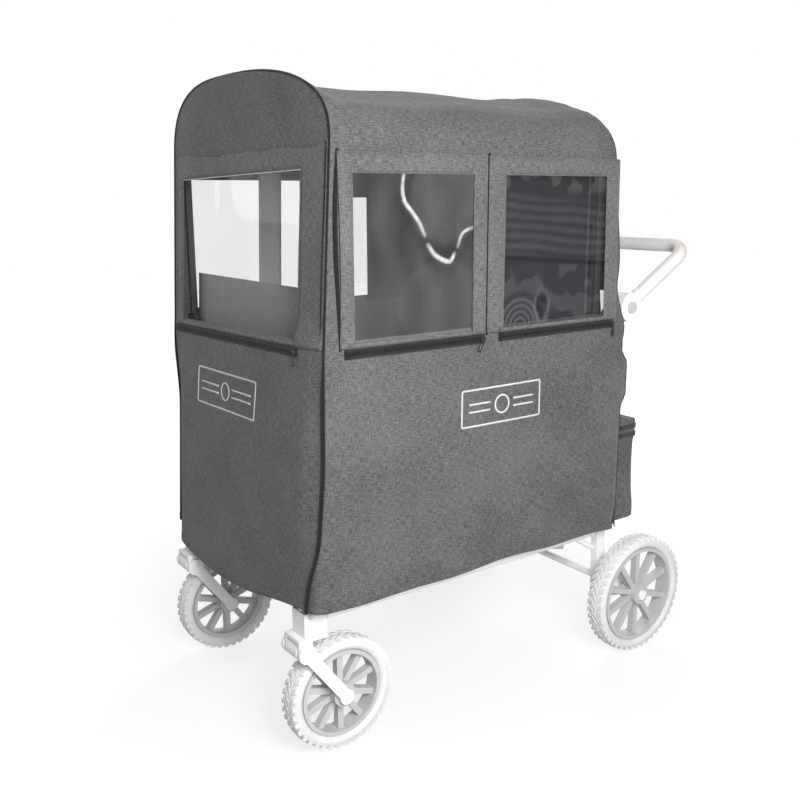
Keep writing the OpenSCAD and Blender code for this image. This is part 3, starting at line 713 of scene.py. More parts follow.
def roof_point(ref, angle):
    """A point of the roof: angle 0 is the near eave, pi the far one."""
    c, s = math.cos(angle), math.sin(angle)
    flat = 2 / (ARCH_NEAR if c > 0 else ARCH_FAR)
    crown = CROWN * (1 - 0.6 * smooth((ref + 0.40) / 0.5))
    y = crown - math.copysign(HALF + math.copysign(crown, c), c) * abs(c) ** flat
    lift = abs(s) ** flat
    x = column_x(ref, EAVE + ROOF_RISE * lift, y)
    top = roof_top(x)
    top -= roof_edge_drop(x, top)
    z = EAVE + (top - EAVE) * lift
    inner = smooth((x - front_x(z)) / 0.04) * smooth((0.386 - x) / 0.04)
    folds = 0.0040 * ripple(x * 3.0, angle * 4.0, 5.0) + 0.0030 * ripple(x * 1.3, angle * 9.0, 9.0)
    shoulder = -0.0075 * bell(angle, 0.85, 0.22) - 0.0075 * bell(angle, math.pi - 0.85, 0.22)
    valley = (folds + shoulder) * inner * smooth(angle / 0.25) * smooth((math.pi - angle) / 0.25)
    out = Vector((0, y / HALF, lift)).normalized()
    return cabin(x, y + out.y * valley, z + out.z * valley)


WINDOWS = ((-0.355, -0.024), (0.010, 0.372))  # openings in each side wall
OPEN_LOW, OPEN_TOP = 0.899, 1.238
FLAPS = {"front": (-0.371, -0.007), "rear": (-0.001, 0.395)}  # in x, near and far alike
PANES = {
    "near_front": (-0.339, -0.041), "near_rear": (0.044, 0.354),
    "far_front": (-0.357, -0.047), "far_rear": (0.044, 0.354),
}
PANE_LOW, PANE_TOP = 0.893, 1.215


def cover_shell():
    """Both side walls and the roof, as one cloth over the bows."""
    edges = [-0.414, -0.406, -0.398, -0.392, -0.372, -0.355, -0.024, 0.010, 0.372, 0.376, 0.408, 0.430]
    refs = knots(edges, 0.012)
    walls = [z for z in knots([0.0, ZIP, OPEN_LOW, OPEN_TOP, EAVE], 0.012) if z >= HEM + 0.02]

    def wall_rows(side):
        """One side wall's rows, from its hem up."""
        rows = []
        for share in (0, 1 / 3, 2 / 3):
            rows.append([side_point(column_x(r, HEM, side * HALF),
                                    side_hem(r) + (walls[0] - side_hem(r)) * share, side) for r in refs])
        return rows + [[side_point(column_x(r, z, side * HALF), z, side) for r in refs] for z in walls]

    arch = span(0.0, math.pi, 72)[1:-1]
    rows = wall_rows(-1) + [[roof_point(r, a) for r in refs] for a in arch] + wall_rows(1)[::-1]
    marks = [0.0] * 3 + walls
    heights = marks + [2.0] * len(arch) + marks[::-1]

    def in_window(i, j):
        x = middle(refs, j)
        return OPEN_LOW < middle(heights, i) < OPEN_TOP and any(a < x < b for a, b in WINDOWS)

    obj = grid("cover_roof_and_sides", rows, "cover_fabric", in_window)
    piece(obj, "chassis", "cover_fabric", "cover_side_skirts", "side_window_surrounds", "cover_roof")
    return rows


# How far the front wall's cloth has slipped: (height, upward at the near edge, upward at the far edge).
SAG = ((0.37, 0.0, 0.0), (0.69, 0.016, 0.0), (0.78, 0.014, 0.0), (0.885, 0.001, -0.017),
       (1.215, 0.010, -0.003), (1.264, 0.010, 0.006), (1.36, 0.0, 0.0))


def front_sag(y, z):
    """How far the front wall's cloth has crept up at its near side and sagged at its far one."""
    share = (y + HALF) / (2 * HALF)
    for (z0, near0, far0), (z1, near1, far1) in zip(SAG, SAG[1:]):
        if z0 < z <= z1:
            t = smooth((z - z0) / (z1 - z0))
            near, far = near0 + (near1 - near0) * t, far0 + (far1 - far0) * t
            held = smooth((z - 1.262) / 0.02)
            return (near + (far - near) * share) * (1 - held + held * smooth((HALF - abs(y)) / 0.06))
    return 0.0


def front_point(y, z, lift=0.0):
    """The front wall, with lift metres off its surface."""
    near_edge, far_edge = arch_edges(z)
    z += front_sag(y, z)
    fade = smooth(min(HALF - abs(y), y - near_edge, far_edge - y) / 0.06)
    low = smooth((ZIP - 0.02 - z) / 0.2)
    puff = 0.0055 * fade * smooth((z - 1.24) / 0.06)
    wave = low * (0.0050 * ripple(y * 3.2, z * 3.4, 21.0) + 0.0022 * ripple(y * 8 - z * 4, z * 6, 23.0))
    belly = 0.006 * low * math.sin(math.pi * smooth((z - 0.30) / (ZIP - 0.30)))
    slack = (wave + belly + math.hypot(wave + belly, 0.004 * low)) / 2
    return cabin(front_face(y, z) - puff - slack * fade - 0.0005 - lift, y, z)


def arch_edges(z):
    """The front wall's near and far edges at a height."""
    if z <= EAVE:
        return -HALF + seam_in(z), HALF
    t = min(1.0, (z - EAVE) / ROOF_RISE)
    near = max(0.0, 1 - t ** ARCH_NEAR) ** (1 / ARCH_NEAR)
    far = max(0.0, 1 - t ** ARCH_FAR) ** (1 / ARCH_FAR)
    return CROWN - (HALF + CROWN) * near, CROWN + (HALF - CROWN) * far


FRONT_OPEN = (-0.330, 0.318)


def front_wall():
    """The front wall with its curved hem, window opening and arched top."""
    shares = knots([-1.0, FRONT_OPEN[0] / HALF, FRONT_OPEN[1] / HALF, 1.0], 0.04)
    walls = knots([0.37, ZIP, OPEN_LOW, OPEN_TOP + 0.01, EAVE], 0.012)
    rows, heights = [], []

    def across(z):
        near, far = arch_edges(z)
        return [near + (far - near) * (s + 1) / 2 for s in shares]

    for k in range(5):
        rows.append([front_point(y, front_hem(y) + (walls[0] - front_hem(y)) * k / 5) for y in across(HEM)])
        heights.append(0.0)
    for z in walls:
        rows.append([front_point(y, z) for y in across(z)])
        heights.append(z)
    for k in range(1, 26):
        z = EAVE + ROOF_RISE * math.sin(math.pi / 2 * k / 25) * 0.9995
        rows.append([front_point(y, z) for y in across(z)])
        heights.append(z)

    def in_window(i, j):
        y = middle(shares, j) * HALF
        return OPEN_LOW < middle(heights, i) < OPEN_TOP + 0.01 and FRONT_OPEN[0] < y < FRONT_OPEN[1]

    obj = grid("cover_front_wall", rows, "cover_fabric", in_window)
    piece(obj, "chassis", "cover_fabric")
    return obj


REAR_OPEN = (0.960, 1.210)  # the fixed window, in z
REAR_OPEN_HALF = 0.250


def rear_wall_x(z):
    """The rear wall: behind the legs below, stepping in above the handle brackets."""
    upper = 0.430 - (z - ZIP) * REAR_LEAN
    lower = 0.4595 - (z - HEM) * 0.0075
    return upper + (lower - upper) * smooth((ZIP + 0.006 - z) / 0.045)


def rear_point(y, z):
    """A point of the rear wall, whose corners turn forward in an arc."""
    r = 0.021
    over = max(0.0, abs(y) - (HALF - r))
    low = smooth((ZIP - 0.06 - z) / 0.2) * smooth((HALF - abs(y)) / 0.08)
    wave = low * (0.0016 * ripple(y * 3.0, z * 3.0, 31.0) + 0.0012 * ripple(y * 9, z * 6, 33.0))
    x = rear_wall_x(z) - r + math.sqrt(max(0.0, r * r - over * over)) + wave
    return cabin(x, y, z)


def rear_wall(roof_rows):
    """The rear wall, from its hem to the roof's rear edge, with slots for the handle brackets."""
    half = HALF - 0.0005
    ys = knots([-half, -0.316, -0.286, -REAR_OPEN_HALF, REAR_OPEN_HALF, 0.286, 0.316, half], 0.016)
    walls = knots([0.37, 0.835, 0.860, ZIP, 0.946, REAR_OPEN[0], REAR_OPEN[1], EAVE], 0.014)
    rows, heights = [], []
    for k in range(3):
        low = [side_hem(0.4) + 0.002 * math.sin(20 * y) for y in ys]
        rows.append([rear_point(y, h + (walls[0] - h) * k / 3) for y, h in zip(ys, low)])
        heights.append(0.0)
    for z in walls:
        rows.append([rear_point(y, z) for y in ys])
        heights.append(z)
    edge = [row[-1] for row in roof_rows if row[-1].z >= EAVE]
    for k in range(1, 6):
        row = []
        for y in ys:
            end = min(edge, key=lambda p: abs(p.y - y))
            row.append(rear_point(y, EAVE).lerp(Vector((end.x, y, end.z)), k / 5))
        rows.append(row)
        heights.append(EAVE + 0.01 * k)

    def cut(i, j):
        z, y = middle(heights, i), abs(middle(ys, j))
        window = REAR_OPEN[0] < z < REAR_OPEN[1] and y < REAR_OPEN_HALF
        bracket = 0.835 < z < 0.946 and 0.286 < y < 0.316
        hub = 0.860 < z < 0.892 and y > 0.286
        return window or bracket or hub

    obj = grid("cover_rear_wall", rows, "cover_fabric", cut)
    piece(obj, "chassis", "cover_fabric", "cover_end_skirts", "end_window_surrounds")
    return obj


def cover_trim(roof_rows):
    """Piping along the front arch and corners, the hem band and the seam lines. The front piping is near black and
    thickens low down: real piping with the seam's shadow painted on.
    """
    front_edge = [row[0] + Vector((-0.0015, 0, 0)) for row in roof_rows]
    spread = []
    for p in front_edge:
        side = 1 if p.y > 0 else -1
        spread.append(p + Vector((0, side * 0.0008, 0.0008 if p.z > EAVE else 0)))
    # Painted shadow: the front piping grows thicker below the zips and is near black.
    thick = [0.0021 + 0.0022 * smooth((ZIP - p.z) / 0.1) for p in spread]
    obj = sweep("cover_piping_front", spread, lambda i: ring(thick[i], 8), "painted_shadow_black")
    piece(obj, "chassis", "cover_fabric")
    rear_edge = [row[-1] + Vector((0.0008, 0, 0)) for row in roof_rows]
    obj = cord_of("cover_piping_rear", rear_edge, 0.0020, "cover_binding")
    piece(obj, "chassis", "cover_fabric")
    for name, side in SIDES:
        xs = span(-0.408, 0.432, 60)
        hem = [side_point(x, side_hem(x) + 0.0075, side) for x in xs]
        obj = ribbon("cover_hem_" + name, hem, 0.017, 0.0034, Vector((0, 0, 1)), "cover_fabric")
        piece(obj, "chassis", "cover_fabric")
        out = [Vector((0, side, 0))] * len(xs)
        for up in (0.0125, 0.0045):
            row = [side_point(x, side_hem(x) + up, side) + Vector((0, side * 0.0024, 0)) for x in xs]
            stitch("chassis", row, out)
        xs = span(-0.396, 0.384, 60)
        for up in (1.2585, 1.2635):
            row = [side_point(x, up, side) + Vector((0, side * 0.0009, 0)) for x in xs]
            stitch("chassis", row, out)
    ys = span(-0.324, 0.345, 60)
    hem = [front_point(y, front_hem(y) + 0.0075) for y in ys]
    obj = ribbon("cover_hem_front", hem, 0.017, 0.0034, Vector((0, 0, 1)), "cover_fabric")
    piece(obj, "chassis", "cover_fabric")
    out = [Vector((-1, 0, 0))] * len(ys)
    for up in (0.0125, 0.0045):
        stitch("chassis", [front_point(y, front_hem(y) + up, 0.0024) for y in ys], out)
    inset = [Vector((p.x - 0.0002, p.y * 0.975, p.z - 0.008)) for p in front_edge if p.z > EAVE]
    stitch("chassis", inset, [Vector((-1, 0, 0))] * len(inset))


# ---------------------------------------------------------------- window flaps


def flap_frame(name, low, high, pane, top, place, body, node, bow=0.0):
    """A cloth frame round a clear pane. place(a, z, out) puts a point of the flap in the row frame."""
    foot = FLAP_FOOT
    cols = knots([low, pane[0], pane[1], high], 0.011)
    rows_z = knots([foot, PANE_LOW, PANE_TOP, top], 0.011)
    rows = []
    for z in rows_z:
        line = []
        for a in cols:
            share = 1 - smooth((a - low) / 0.028)
            pull = bow * share * math.sin(math.pi * (z - foot) / (top - foot))
            line.append(place(a + pull, z, 0.0006 * ripple(a * 14, z * 9, 41.0)
                              + 0.0012 * smooth((foot + 0.06 - z) / 0.06)))
        rows.append(line)

    def in_pane(i, j):
        return PANE_LOW < middle(rows_z, i) < PANE_TOP and pane[0] < middle(cols, j) < pane[1]

    obj = grid(name, rows, "flap_fabric", in_pane, 0.0016)
    piece(obj, body, "flap_fabric", node)
    width, height = high - low, top - foot
    cut = width * height - (pane[1] - pane[0]) * (PANE_TOP - PANE_LOW)
    return obj, width, height, max(cut, 0.3005 * width * height)


def film(name, cols, rows_z, place, body, node, creases, material="clear_film", white=None):
    """A clear pane with soft waves and the creases of folded film. white(a, z) is how much painted glare it
    carries.
    """
    rows = [[place(a, z, creases(a, z)) for a in cols] for z in rows_z]
    obj = grid(name, rows, material, None, FILM)
    if white:
        # Writes the painted glare of each point of the pane.
        layer = obj.data.attributes.new("painted_glare", "FLOAT", "POINT")
        for k, v in enumerate(obj.data.vertices):
            layer.data[k].value = white(v.co.x - CABIN_X, v.co.z)
    piece(obj, body, "clear_film", node)


def distance_to_line(a, z, line):
    """Distance from a point to a line of points, and how far along the line it is, from 0 to 1."""
    best, at = 1e9, 0.0
    for k in range(len(line) - 1):
        (ax, az), (bx, bz) = line[k], line[k + 1]
        dx, dz = bx - ax, bz - az
        t = min(1.0, max(0.0, ((a - ax) * dx + (z - az) * dz) / (dx * dx + dz * dz)))
        d = math.hypot(a - ax - dx * t, z - az - dz * t)
        if d < best:
            best, at = d, (k + t) / (len(line) - 1)
    return best, at


def curve_points(control, n=24):
    """A smooth line through a few control points."""
    pts = [control[0]] + list(control) + [control[-1]]
    out = []
    for i in range(1, len(pts) - 2):
        p0, p1, p2, p3 = pts[i - 1 : i + 3]
        for k in range(n):
            t = k / n
            out.append(tuple(
                0.5 * (2 * b + (c - a) * t + (2 * a - 5 * b + 4 * c - d) * t * t
                       + (3 * b - a - 3 * c + d) * t ** 3)
                for a, b, c, d in zip(p0, p1, p2, p3)
            ))
    out.append(tuple(control[-1]))
    return out


FOLDS = (
    (curve_points([(-0.218, 1.217), (-0.223, 1.187), (-0.218, 1.162), (-0.200, 1.141), (-0.184, 1.122),
                   (-0.168, 1.095)], 6), 0.0034, 0.95),
    (curve_points([(-0.160, 1.076), (-0.140, 1.054), (-0.107, 1.041), (-0.092, 1.056)], 6), 0.0040, 1.0),
    (curve_points([(-0.083, 1.070), (-0.074, 1.094), (-0.061, 1.103), (-0.043, 1.108)], 6), 0.0030, 0.75),
)


def creases_near_front(a, z):
    """One heavy fold hanging in a curve across the front window."""
    out = 0.0010 * ripple(a * 9, z * 7, 51.0)
    for line, _, strength in FOLDS:
        d, t = distance_to_line(a, z, line)
        out += 0.0026 * strength * math.sin(math.pi * t) * math.exp(-((d / 0.006) ** 2))
    pocket = 0.0030 * math.exp(-(((a + 0.13) / 0.055) ** 2 + ((z - 1.15) / 0.05) ** 2))
    return out + pocket + 0.0010 * math.sin(26 * a + 9 * math.sin(5 * z)) * smooth((1.1 - z) / 0.1)


def painted_glare_near_front(a, z):
    """Painted highlight along the fold, with a painted darker band beside it and painted reflections over the
    hollow, over the seat and in fine stripes.
    """
    out = 0.0
    for line, width, strength in FOLDS:
        d, t = distance_to_line(a, z, line)
        if d < 0.05:
            broken = 0.72 + 0.45 * ripple(a * 90, z * 90, 52.0)
            edge = math.exp(-((d / width) ** 4))
            out += strength * broken * edge * math.sin(math.pi * min(0.97, max(0.03, t))) ** 0.45
            # Painted shade: a darker band beside the painted highlight.
            out -= 0.008 * math.exp(-(((d - 0.016) / 0.012) ** 2))
    hollow = math.hypot((a + 0.115) / 0.085, (z - 1.165) / 0.085)
    out += 0.020 * smooth((1.15 - hollow) / 0.2)
    seat = math.hypot((a + 0.125) / 0.105, (z - 0.955) / 0.085)
    out += 0.012 * smooth((1.1 - seat) / 0.12)
    return out + 0.006 * math.sin(70 * a + 4 * ripple(a * 6, z * 8, 53.0))


def creases_near_rear(a, z):
    """Level ripples above, softer waves everywhere."""
    bands = 0.0008 * math.sin(z * 95 + 4 * ripple(a * 5, z * 5, 61.0)) * smooth((z - 1.0) / 0.08)
    return bands + 0.0022 * ripple(a * 8, z * 8, 63.0)


def painted_reflections_near_rear(a, z):
    """Painted reflections: contour-like rings, level bands, swirls and stripes, with painted darker lines and
    patches.
    """
    ring_at = math.hypot((a - 0.095) / 0.060, (z - 0.893) / 0.062)
    rings = 0.5 + 0.5 * math.sin(2 * math.pi * 4.6 * ring_at)
    out = 0.055 * rings * smooth((1.12 - ring_at) / 0.15)
    eye = math.hypot((a - 0.161) / 0.022, (z - 0.932) / 0.036)
    out += 0.040 * bell(eye, 1.0, 0.22) - 0.020 * smooth((0.9 - eye) / 0.3)
    level = z + 0.08 * (a - 0.071)
    high = smooth((level - 1.045) / 0.01) * smooth((1.185 - level) / 0.02)
    out += 0.022 * high * (0.5 + 0.5 * math.sin(level * 290 + 2.2 * ripple(a * 7, z * 9, 64.0)))
    out -= 0.030 * bell(level, 1.040, 0.0035)
    swirl = ripple(a * 16, z * 20, 65.0) + 0.5 * ripple(a * 34, z * 40, 66.0)
    out += 0.030 * smooth((swirl - 0.02) / 0.10) * smooth((z - 1.165) / 0.03)
    out += 0.024 * smooth((swirl - 0.05) / 0.12) * smooth((1.03 - z) / 0.02) * smooth((ring_at - 1.1) / 0.2)
    post = 0.018 * smooth((a - 0.295) / 0.004) * smooth((0.345 - a) / 0.004)
    return out + post * (0.5 + 0.5 * math.sin(a * 420))


def creases_plain(a, z):
    """Soft waves in a pane with no folds of its own."""
    return 0.0020 * ripple(a * 7, z * 6, 71.0) + 0.0010 * ripple(a * 16, z * 5, 73.0)


def side_windows():
    """The four side flaps with their panes and edges, and near-black strips in their front gaps as painted shadow.
    """
    for name, side in SIDES:
        for where, (low, high) in FLAPS.items():
            key = f"{name}_{where}"
            body = "window_" + key
            pane = PANES[key]
            splay = 0.009 if key == "near_rear" else 0.0

            def place(a, z, out, side=side, splay=splay):
                shift = splay * smooth((a - 0.18) / 0.20) * (FLAP_TOP - z) / (FLAP_TOP - ZIP)
                return cabin(a + shift, side * (0.3547 + out), z)

            bow = FLAP_BOW if where == "front" else 0.0
            obj, width, height, cut = flap_frame(
                "window_flap_" + key, low, high, pane, FLAP_TOP, place, body, "flap_" + key, bow
            )
            trims = flap_trim(key, low, high, pane, FLAP_TOP, place, body, Vector((0, side, 0)), bow)
            # Painted shadow in the gap along the flap's front edge.
            gap_shadow_strip(key, low, 0.0095 if where == "front" else 0.0050, side)
            fine = name == "near"
            step = 0.0026 if fine else 0.009
            cols = knots([pane[0] - 0.006, pane[1] + 0.006], step)
            rows_z = knots([PANE_LOW - 0.002, PANE_TOP + 0.006], step)
            creases, white = creases_plain, None
            if fine:
                creases = creases_near_front if where == "front" else creases_near_rear
                white = painted_glare_near_front if where == "front" else painted_reflections_near_rear

            def place_film(a, z, out, pane=pane, place=place):
                edge = min(a - pane[0], pane[1] - a, z - PANE_LOW, PANE_TOP - z)
                return place(a, z, out * smooth((edge + 0.002) / 0.02) - 0.0015)

            # The near rear pane takes the darker copy of the film, painted shade.
            film("window_film_" + key, cols, rows_z, place_film, body, "pane_" + key, creases,
                 "shaded_film_copy" if key == "near_rear" else "clear_film", white)


def gap_shadow_strip(key, low, bow, side):
    """A near-black strip along a flap's front edge, painted shadow of the gap, widest where the cloth bows."""
    rows = []
    for z in span(ZIP - 0.003, FLAP_TOP + 0.006, 60):
        share = (z - ZIP) / (FLAP_TOP - ZIP)
        reach = bow * math.sin(math.pi * min(1.0, max(0.0, share)) ** 1.35)
        rows.append([cabin(low - 0.0015 - reach + (0.006 + 0.5 * reach) * t, side * (HALF + 0.0022), z)
                     for t in (0.0, 0.33, 0.67, 1.0)])
    obj = grid("placket_" + key, rows, "painted_shadow_black", None, 0.0012)
    piece(obj, "chassis", "zip_tape")


def flap_trim(key, low, high, pane, top, place, body, out, bow=0.0):
    """Turned edges round a flap and its pane, with their stitches."""
    foot = FLAP_FOOT
    made = []
    outer = [(low, foot), (low, top), (high, top), (high, foot)]
    inner = [(pane[0], PANE_LOW), (pane[0], PANE_TOP), (pane[1], PANE_TOP), (pane[1], PANE_LOW)]
    for tag, corners in (("edge", outer), ("pane_edge", inner)):
        line = []
        for (a0, z0), (a1, z1) in zip(corners, corners[1:]):
            n = max(2, round(math.hypot(a1 - a0, z1 - z0) / 0.02))
            line += [(a0 + (a1 - a0) * k / n, z0 + (z1 - z0) * k / n) for k in range(n)]
        line.append(corners[-1])
        pts = []
        for a, z in line:
            pull = bow * math.sin(math.pi * (z - foot) / (top - foot)) if abs(a - low) < 1e-6 else 0.0
            pts.append(place(a + pull, z, 0.0006))
        edge = cord_of(f"window_{tag}_{key}", pts, 0.0012, "flap_fabric", sides=6)
        made.append(piece(edge, body, "flap_fabric"))
    for grow in (0.0035, 0.0105):
        corners = [(pane[0] - grow, PANE_LOW), (pane[0] - grow, PANE_TOP + grow),
                   (pane[1] + grow, PANE_TOP + grow), (pane[1] + grow, PANE_LOW)]
        stitch(body, [place(a, z, THREAD_LIFT) for a, z in corners], [out] * 3)
    corners = [(low + 0.005, foot + 0.002), (low + 0.005, top - 0.005), (high - 0.005, top - 0.005),
               (high - 0.005, foot + 0.002)]
    stitch(body, [place(a, z, THREAD_LIFT) for a, z in corners], [out] * 3)
    return made


FRONT_FLAP = (-0.347, 0.335)
FRONT_PANE = (-0.255, 0.295)
FRONT_FLAP_TOP = 1.264


def front_window():
    """The front flap with its pane, a light grey bead along the pane's top as painted highlight, and a near-black
    cord in the gap at its side as painted shadow.
    """

    def place(y, z, out):
        z += front_sag(y, z)
        return cabin(front_face(y, z) - 0.0022 - out, y, z)

    low, high = FRONT_FLAP
    body = "window_front"
    obj, width, height, cut = flap_frame(
        "window_flap_front", low, high, FRONT_PANE, FRONT_FLAP_TOP, place, body, "flap_front"
    )
    trims = flap_trim("front", low, high, FRONT_PANE, FRONT_FLAP_TOP, place, body, Vector((-1, 0, 0)))
    cols = knots([FRONT_PANE[0] - 0.006, FRONT_PANE[1] + 0.006], 0.007)
    rows_z = knots([PANE_LOW - 0.002, PANE_TOP + 0.006], 0.007)

    def place_film(y, z, out):
        edge = min(y - FRONT_PANE[0], FRONT_PANE[1] - y, z - PANE_LOW, PANE_TOP - z)
        return place(y, z, out * 0.6 * smooth((edge + 0.002) / 0.02) - 0.0014)

    film("window_film_front", cols, rows_z, place_film, body, "pane_front", creases_plain, "front_film")
    # Painted highlight: a light grey bead along the pane's folded top edge.
    bead = [place(y, PANE_TOP - 0.0015, 0.0012) for y in span(FRONT_PANE[0], FRONT_PANE[1], 40)]
    piece(cord_of("window_bead_front", bead, 0.0011, "painted_edge_highlight", sides=6), body, "clear_film")
    # Painted shadow: a near-black cord in the gap at the flap's side.
    gap = [place(low + 0.0035 + 0.004 * bell(z, 1.02, 0.12), z, 0.0008)
           for z in span(ZIP + 0.002, FRONT_FLAP_TOP - 0.002, 40)]
    piece(cord_of("window_gap_shadow_front", gap, 0.0017, "painted_shadow_black", sides=6), body, "flap_fabric")


def rear_window():
    """The fixed smoked pane in the rear wall, with its edge and stitches."""
    low, high = REAR_OPEN
    lap = 0.006  # how far the film runs on under the cloth
    wide = REAR_OPEN_HALF + lap
    cols = knots([-wide, wide], 0.01)
    rows_z = knots([low - lap, high + lap], 0.01)
    rows = [[rear_point(y, z) + Vector((-0.0022 + 0.6 * creases_plain(y, z), 0, 0)) for y in cols]
            for z in rows_z]
    obj = grid("rear_window_film", rows, "smoked_film", None, FILM)
    piece(obj, "chassis", "clear_film", "rear_window_pane")

    def outline(grow):
        half, foot, top = REAR_OPEN_HALF + grow, low - grow, high + grow
        corners = [(-half, foot), (-half, top), (half, top), (half, foot), (-half, foot)]
        return zip(corners, corners[1:])

    pts = []
    for (y0, z0), (y1, z1) in outline(0.0):
        pts += [rear_point(y, z) + Vector((0.0012, 0, 0))
                for y, z in zip(span(y0, y1, 12)[:-1], span(z0, z1, 12)[:-1])]
    obj = cord_of("rear_window_edge", pts, 0.0018, "cover_binding", closed=True, sides=6)
    piece(obj, "chassis", "cover_fabric")
    for (y0, z0), (y1, z1) in outline(lap):
        row = [rear_point(y, z) + Vector((THREAD_LIFT, 0, 0))
               for y, z in zip(span(y0, y1, 20), span(z0, z1, 20))]
        stitch("chassis", row, [Vector((1, 0, 0))] * 21)


# ---------------------------------------------------------------- zips

TAPE_TOP, TAPE_HEIGHT = 0.8825, 0.020
TAPE_MID = TAPE_TOP - TAPE_HEIGHT / 2
TOOTH_PITCH = 0.0024
SIDE_ZIPS = {"front": (-0.361, -0.003), "rear": (0.035, 0.402)}
FRONT_ZIP = (-0.268, 0.345)


def zip_run(key, start, end, place, out):
    """One zip: a tape, its two rows of teeth and end stops. place(a, z, lift) gives its points."""
    mid = TAPE_MID
    cols = knots([start, end], 0.012)
    rows = []
    for dz in (-0.010, -0.006, -0.002, 0.002, 0.006, 0.010):
        rows.append([place(a, mid + dz, 0.0003 + 0.0006 * (1 - abs(dz) / 0.010)) for a in cols])
    tape = grid("zip_tape_" + key, rows, "zip_tape", None, 0.0009)
    piece(tape, "chassis", "zip_tape", *(("zip_tapes",) if key == "near_front" else ()))
    verts, faces = [], []
    for k in range(int((end - start - 0.012) / TOOTH_PITCH)):
        a = start + 0.006 + TOOTH_PITCH * k
        lean = 0.0009 if k % 2 else -0.0009
        base = len(verts)
        for da in (-0.0009, 0.0009):
            for dz in (-0.0017, 0.0017):
                for lift in (0.0008, 0.0024):
                    shrink = 0.8 if lift > 0.001 else 1.0
                    verts.append(place(a + da * shrink, mid + lean + dz * shrink, lift))
        faces += box_faces(base)
    teeth = mesh_object("zip_teeth_" + key, verts, faces, "zip_metal", smooth_shade=False)
    piece(teeth, "chassis", "zip_metal")
    for dz in (-0.0078, 0.0078):
        row = [place(a, mid + dz, 0.0016) for a in cols]
        stitch("chassis", row, [out] * len(cols), radius=0.00035)


def slider_piece(key, centre, along, out, swing):
    """A zip slider with a hanging pull. swing tilts the pull along the zip."""
    down = Vector((0, 0, -1))
    turn = Matrix((along, out, down)).transposed()
    body = rounded_block(
        "slider_body", (-0.006, 0.0004, -0.0045), (0.006, 0.0042, 0.0045), 0.0014, "zip_metal"
    )
    bridge = [Vector((-0.003, 0.0040, 0)), Vector((-0.0028, 0.0056, 0)), Vector((0.0, 0.0062, 0)),
              Vector((0.0028, 0.0056, 0)), Vector((0.003, 0.0040, 0))]
    arch = sweep("slider_bridge", bridge, lambda i: ring(0.0008, 6), "zip_metal")
    loop = [Vector((0.0028 * math.cos(t), 0.0052, 0.004 + 0.0036 * math.sin(t)))
            for t in span(0, 2 * math.pi, 14)[:-1]]
    eye = sweep("slider_eye", loop, lambda i: ring(0.0007, 6), "zip_metal", closed=True)
    tab_line = [Vector((0, 0.0050, 0.0072)), Vector((0, 0.0050, 0.012)), Vector((0, 0.0049, 0.020)),
                Vector((0, 0.0048, 0.027)), Vector((0, 0.0047, 0.0285))]
    widths = [0.0016, 0.0026, 0.0030, 0.0030, 0.0022]
    tab = sweep("slider_tab", tab_line,
                lambda i: [(-widths[i], -0.0007), (widths[i], -0.0007), (widths[i] * 1.05, 0),
                           (widths[i], 0.0007), (-widths[i], 0.0007), (-widths[i] * 1.05, 0)],
                "zip_metal", side=Vector((1, 0, 0)))
    for part in (eye, tab):
        part.data.transform(Matrix.Rotation(swing, 4, "Y"))
    obj = join("zip_pull_" + key, [body, arch, eye, tab])
    obj.data.transform(Matrix.Translation(centre) @ turn.to_4x4())
    piece(obj, "slider_" + key, "zip_metal", "zip_slider_" + key)


def zips():
    """The four side zips and the front one, each with its slider."""
    for name, side in SIDES:
        out = Vector((0, side, 0))
        for where, (start, end) in SIDE_ZIPS.items():
            key = f"{name}_{where}"

            def place(a, z, lift, side=side):
                return cabin(a, side * (HALF + 0.0012 + lift), z)

            zip_run(key, start, end, place, out)
            low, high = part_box("zip_slider_" + key)
            centre = Vector(((low.x + high.x) / 2, side * (HALF + 0.0028), TAPE_MID))
            slider_piece(key, centre, Vector((1, 0, 0)), out, -0.45 if key == "near_front" else 0.06)

    def place(a, z, lift):
        z += front_sag(a, z)
        return cabin(front_face(a, z) - 0.0014 - lift, a, z)

    out = Vector((-1, 0, 0))
    zip_run("front", FRONT_ZIP[0], FRONT_ZIP[1], place, out)
    low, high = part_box("zip_slider_front")
    centre = place((low.y + high.y) / 2, TAPE_MID, 0.0016)
    slider_piece("front", centre, Vector((0, -1, 0)), out, 0.05)


# ---------------------------------------------------------------- badges, pouch


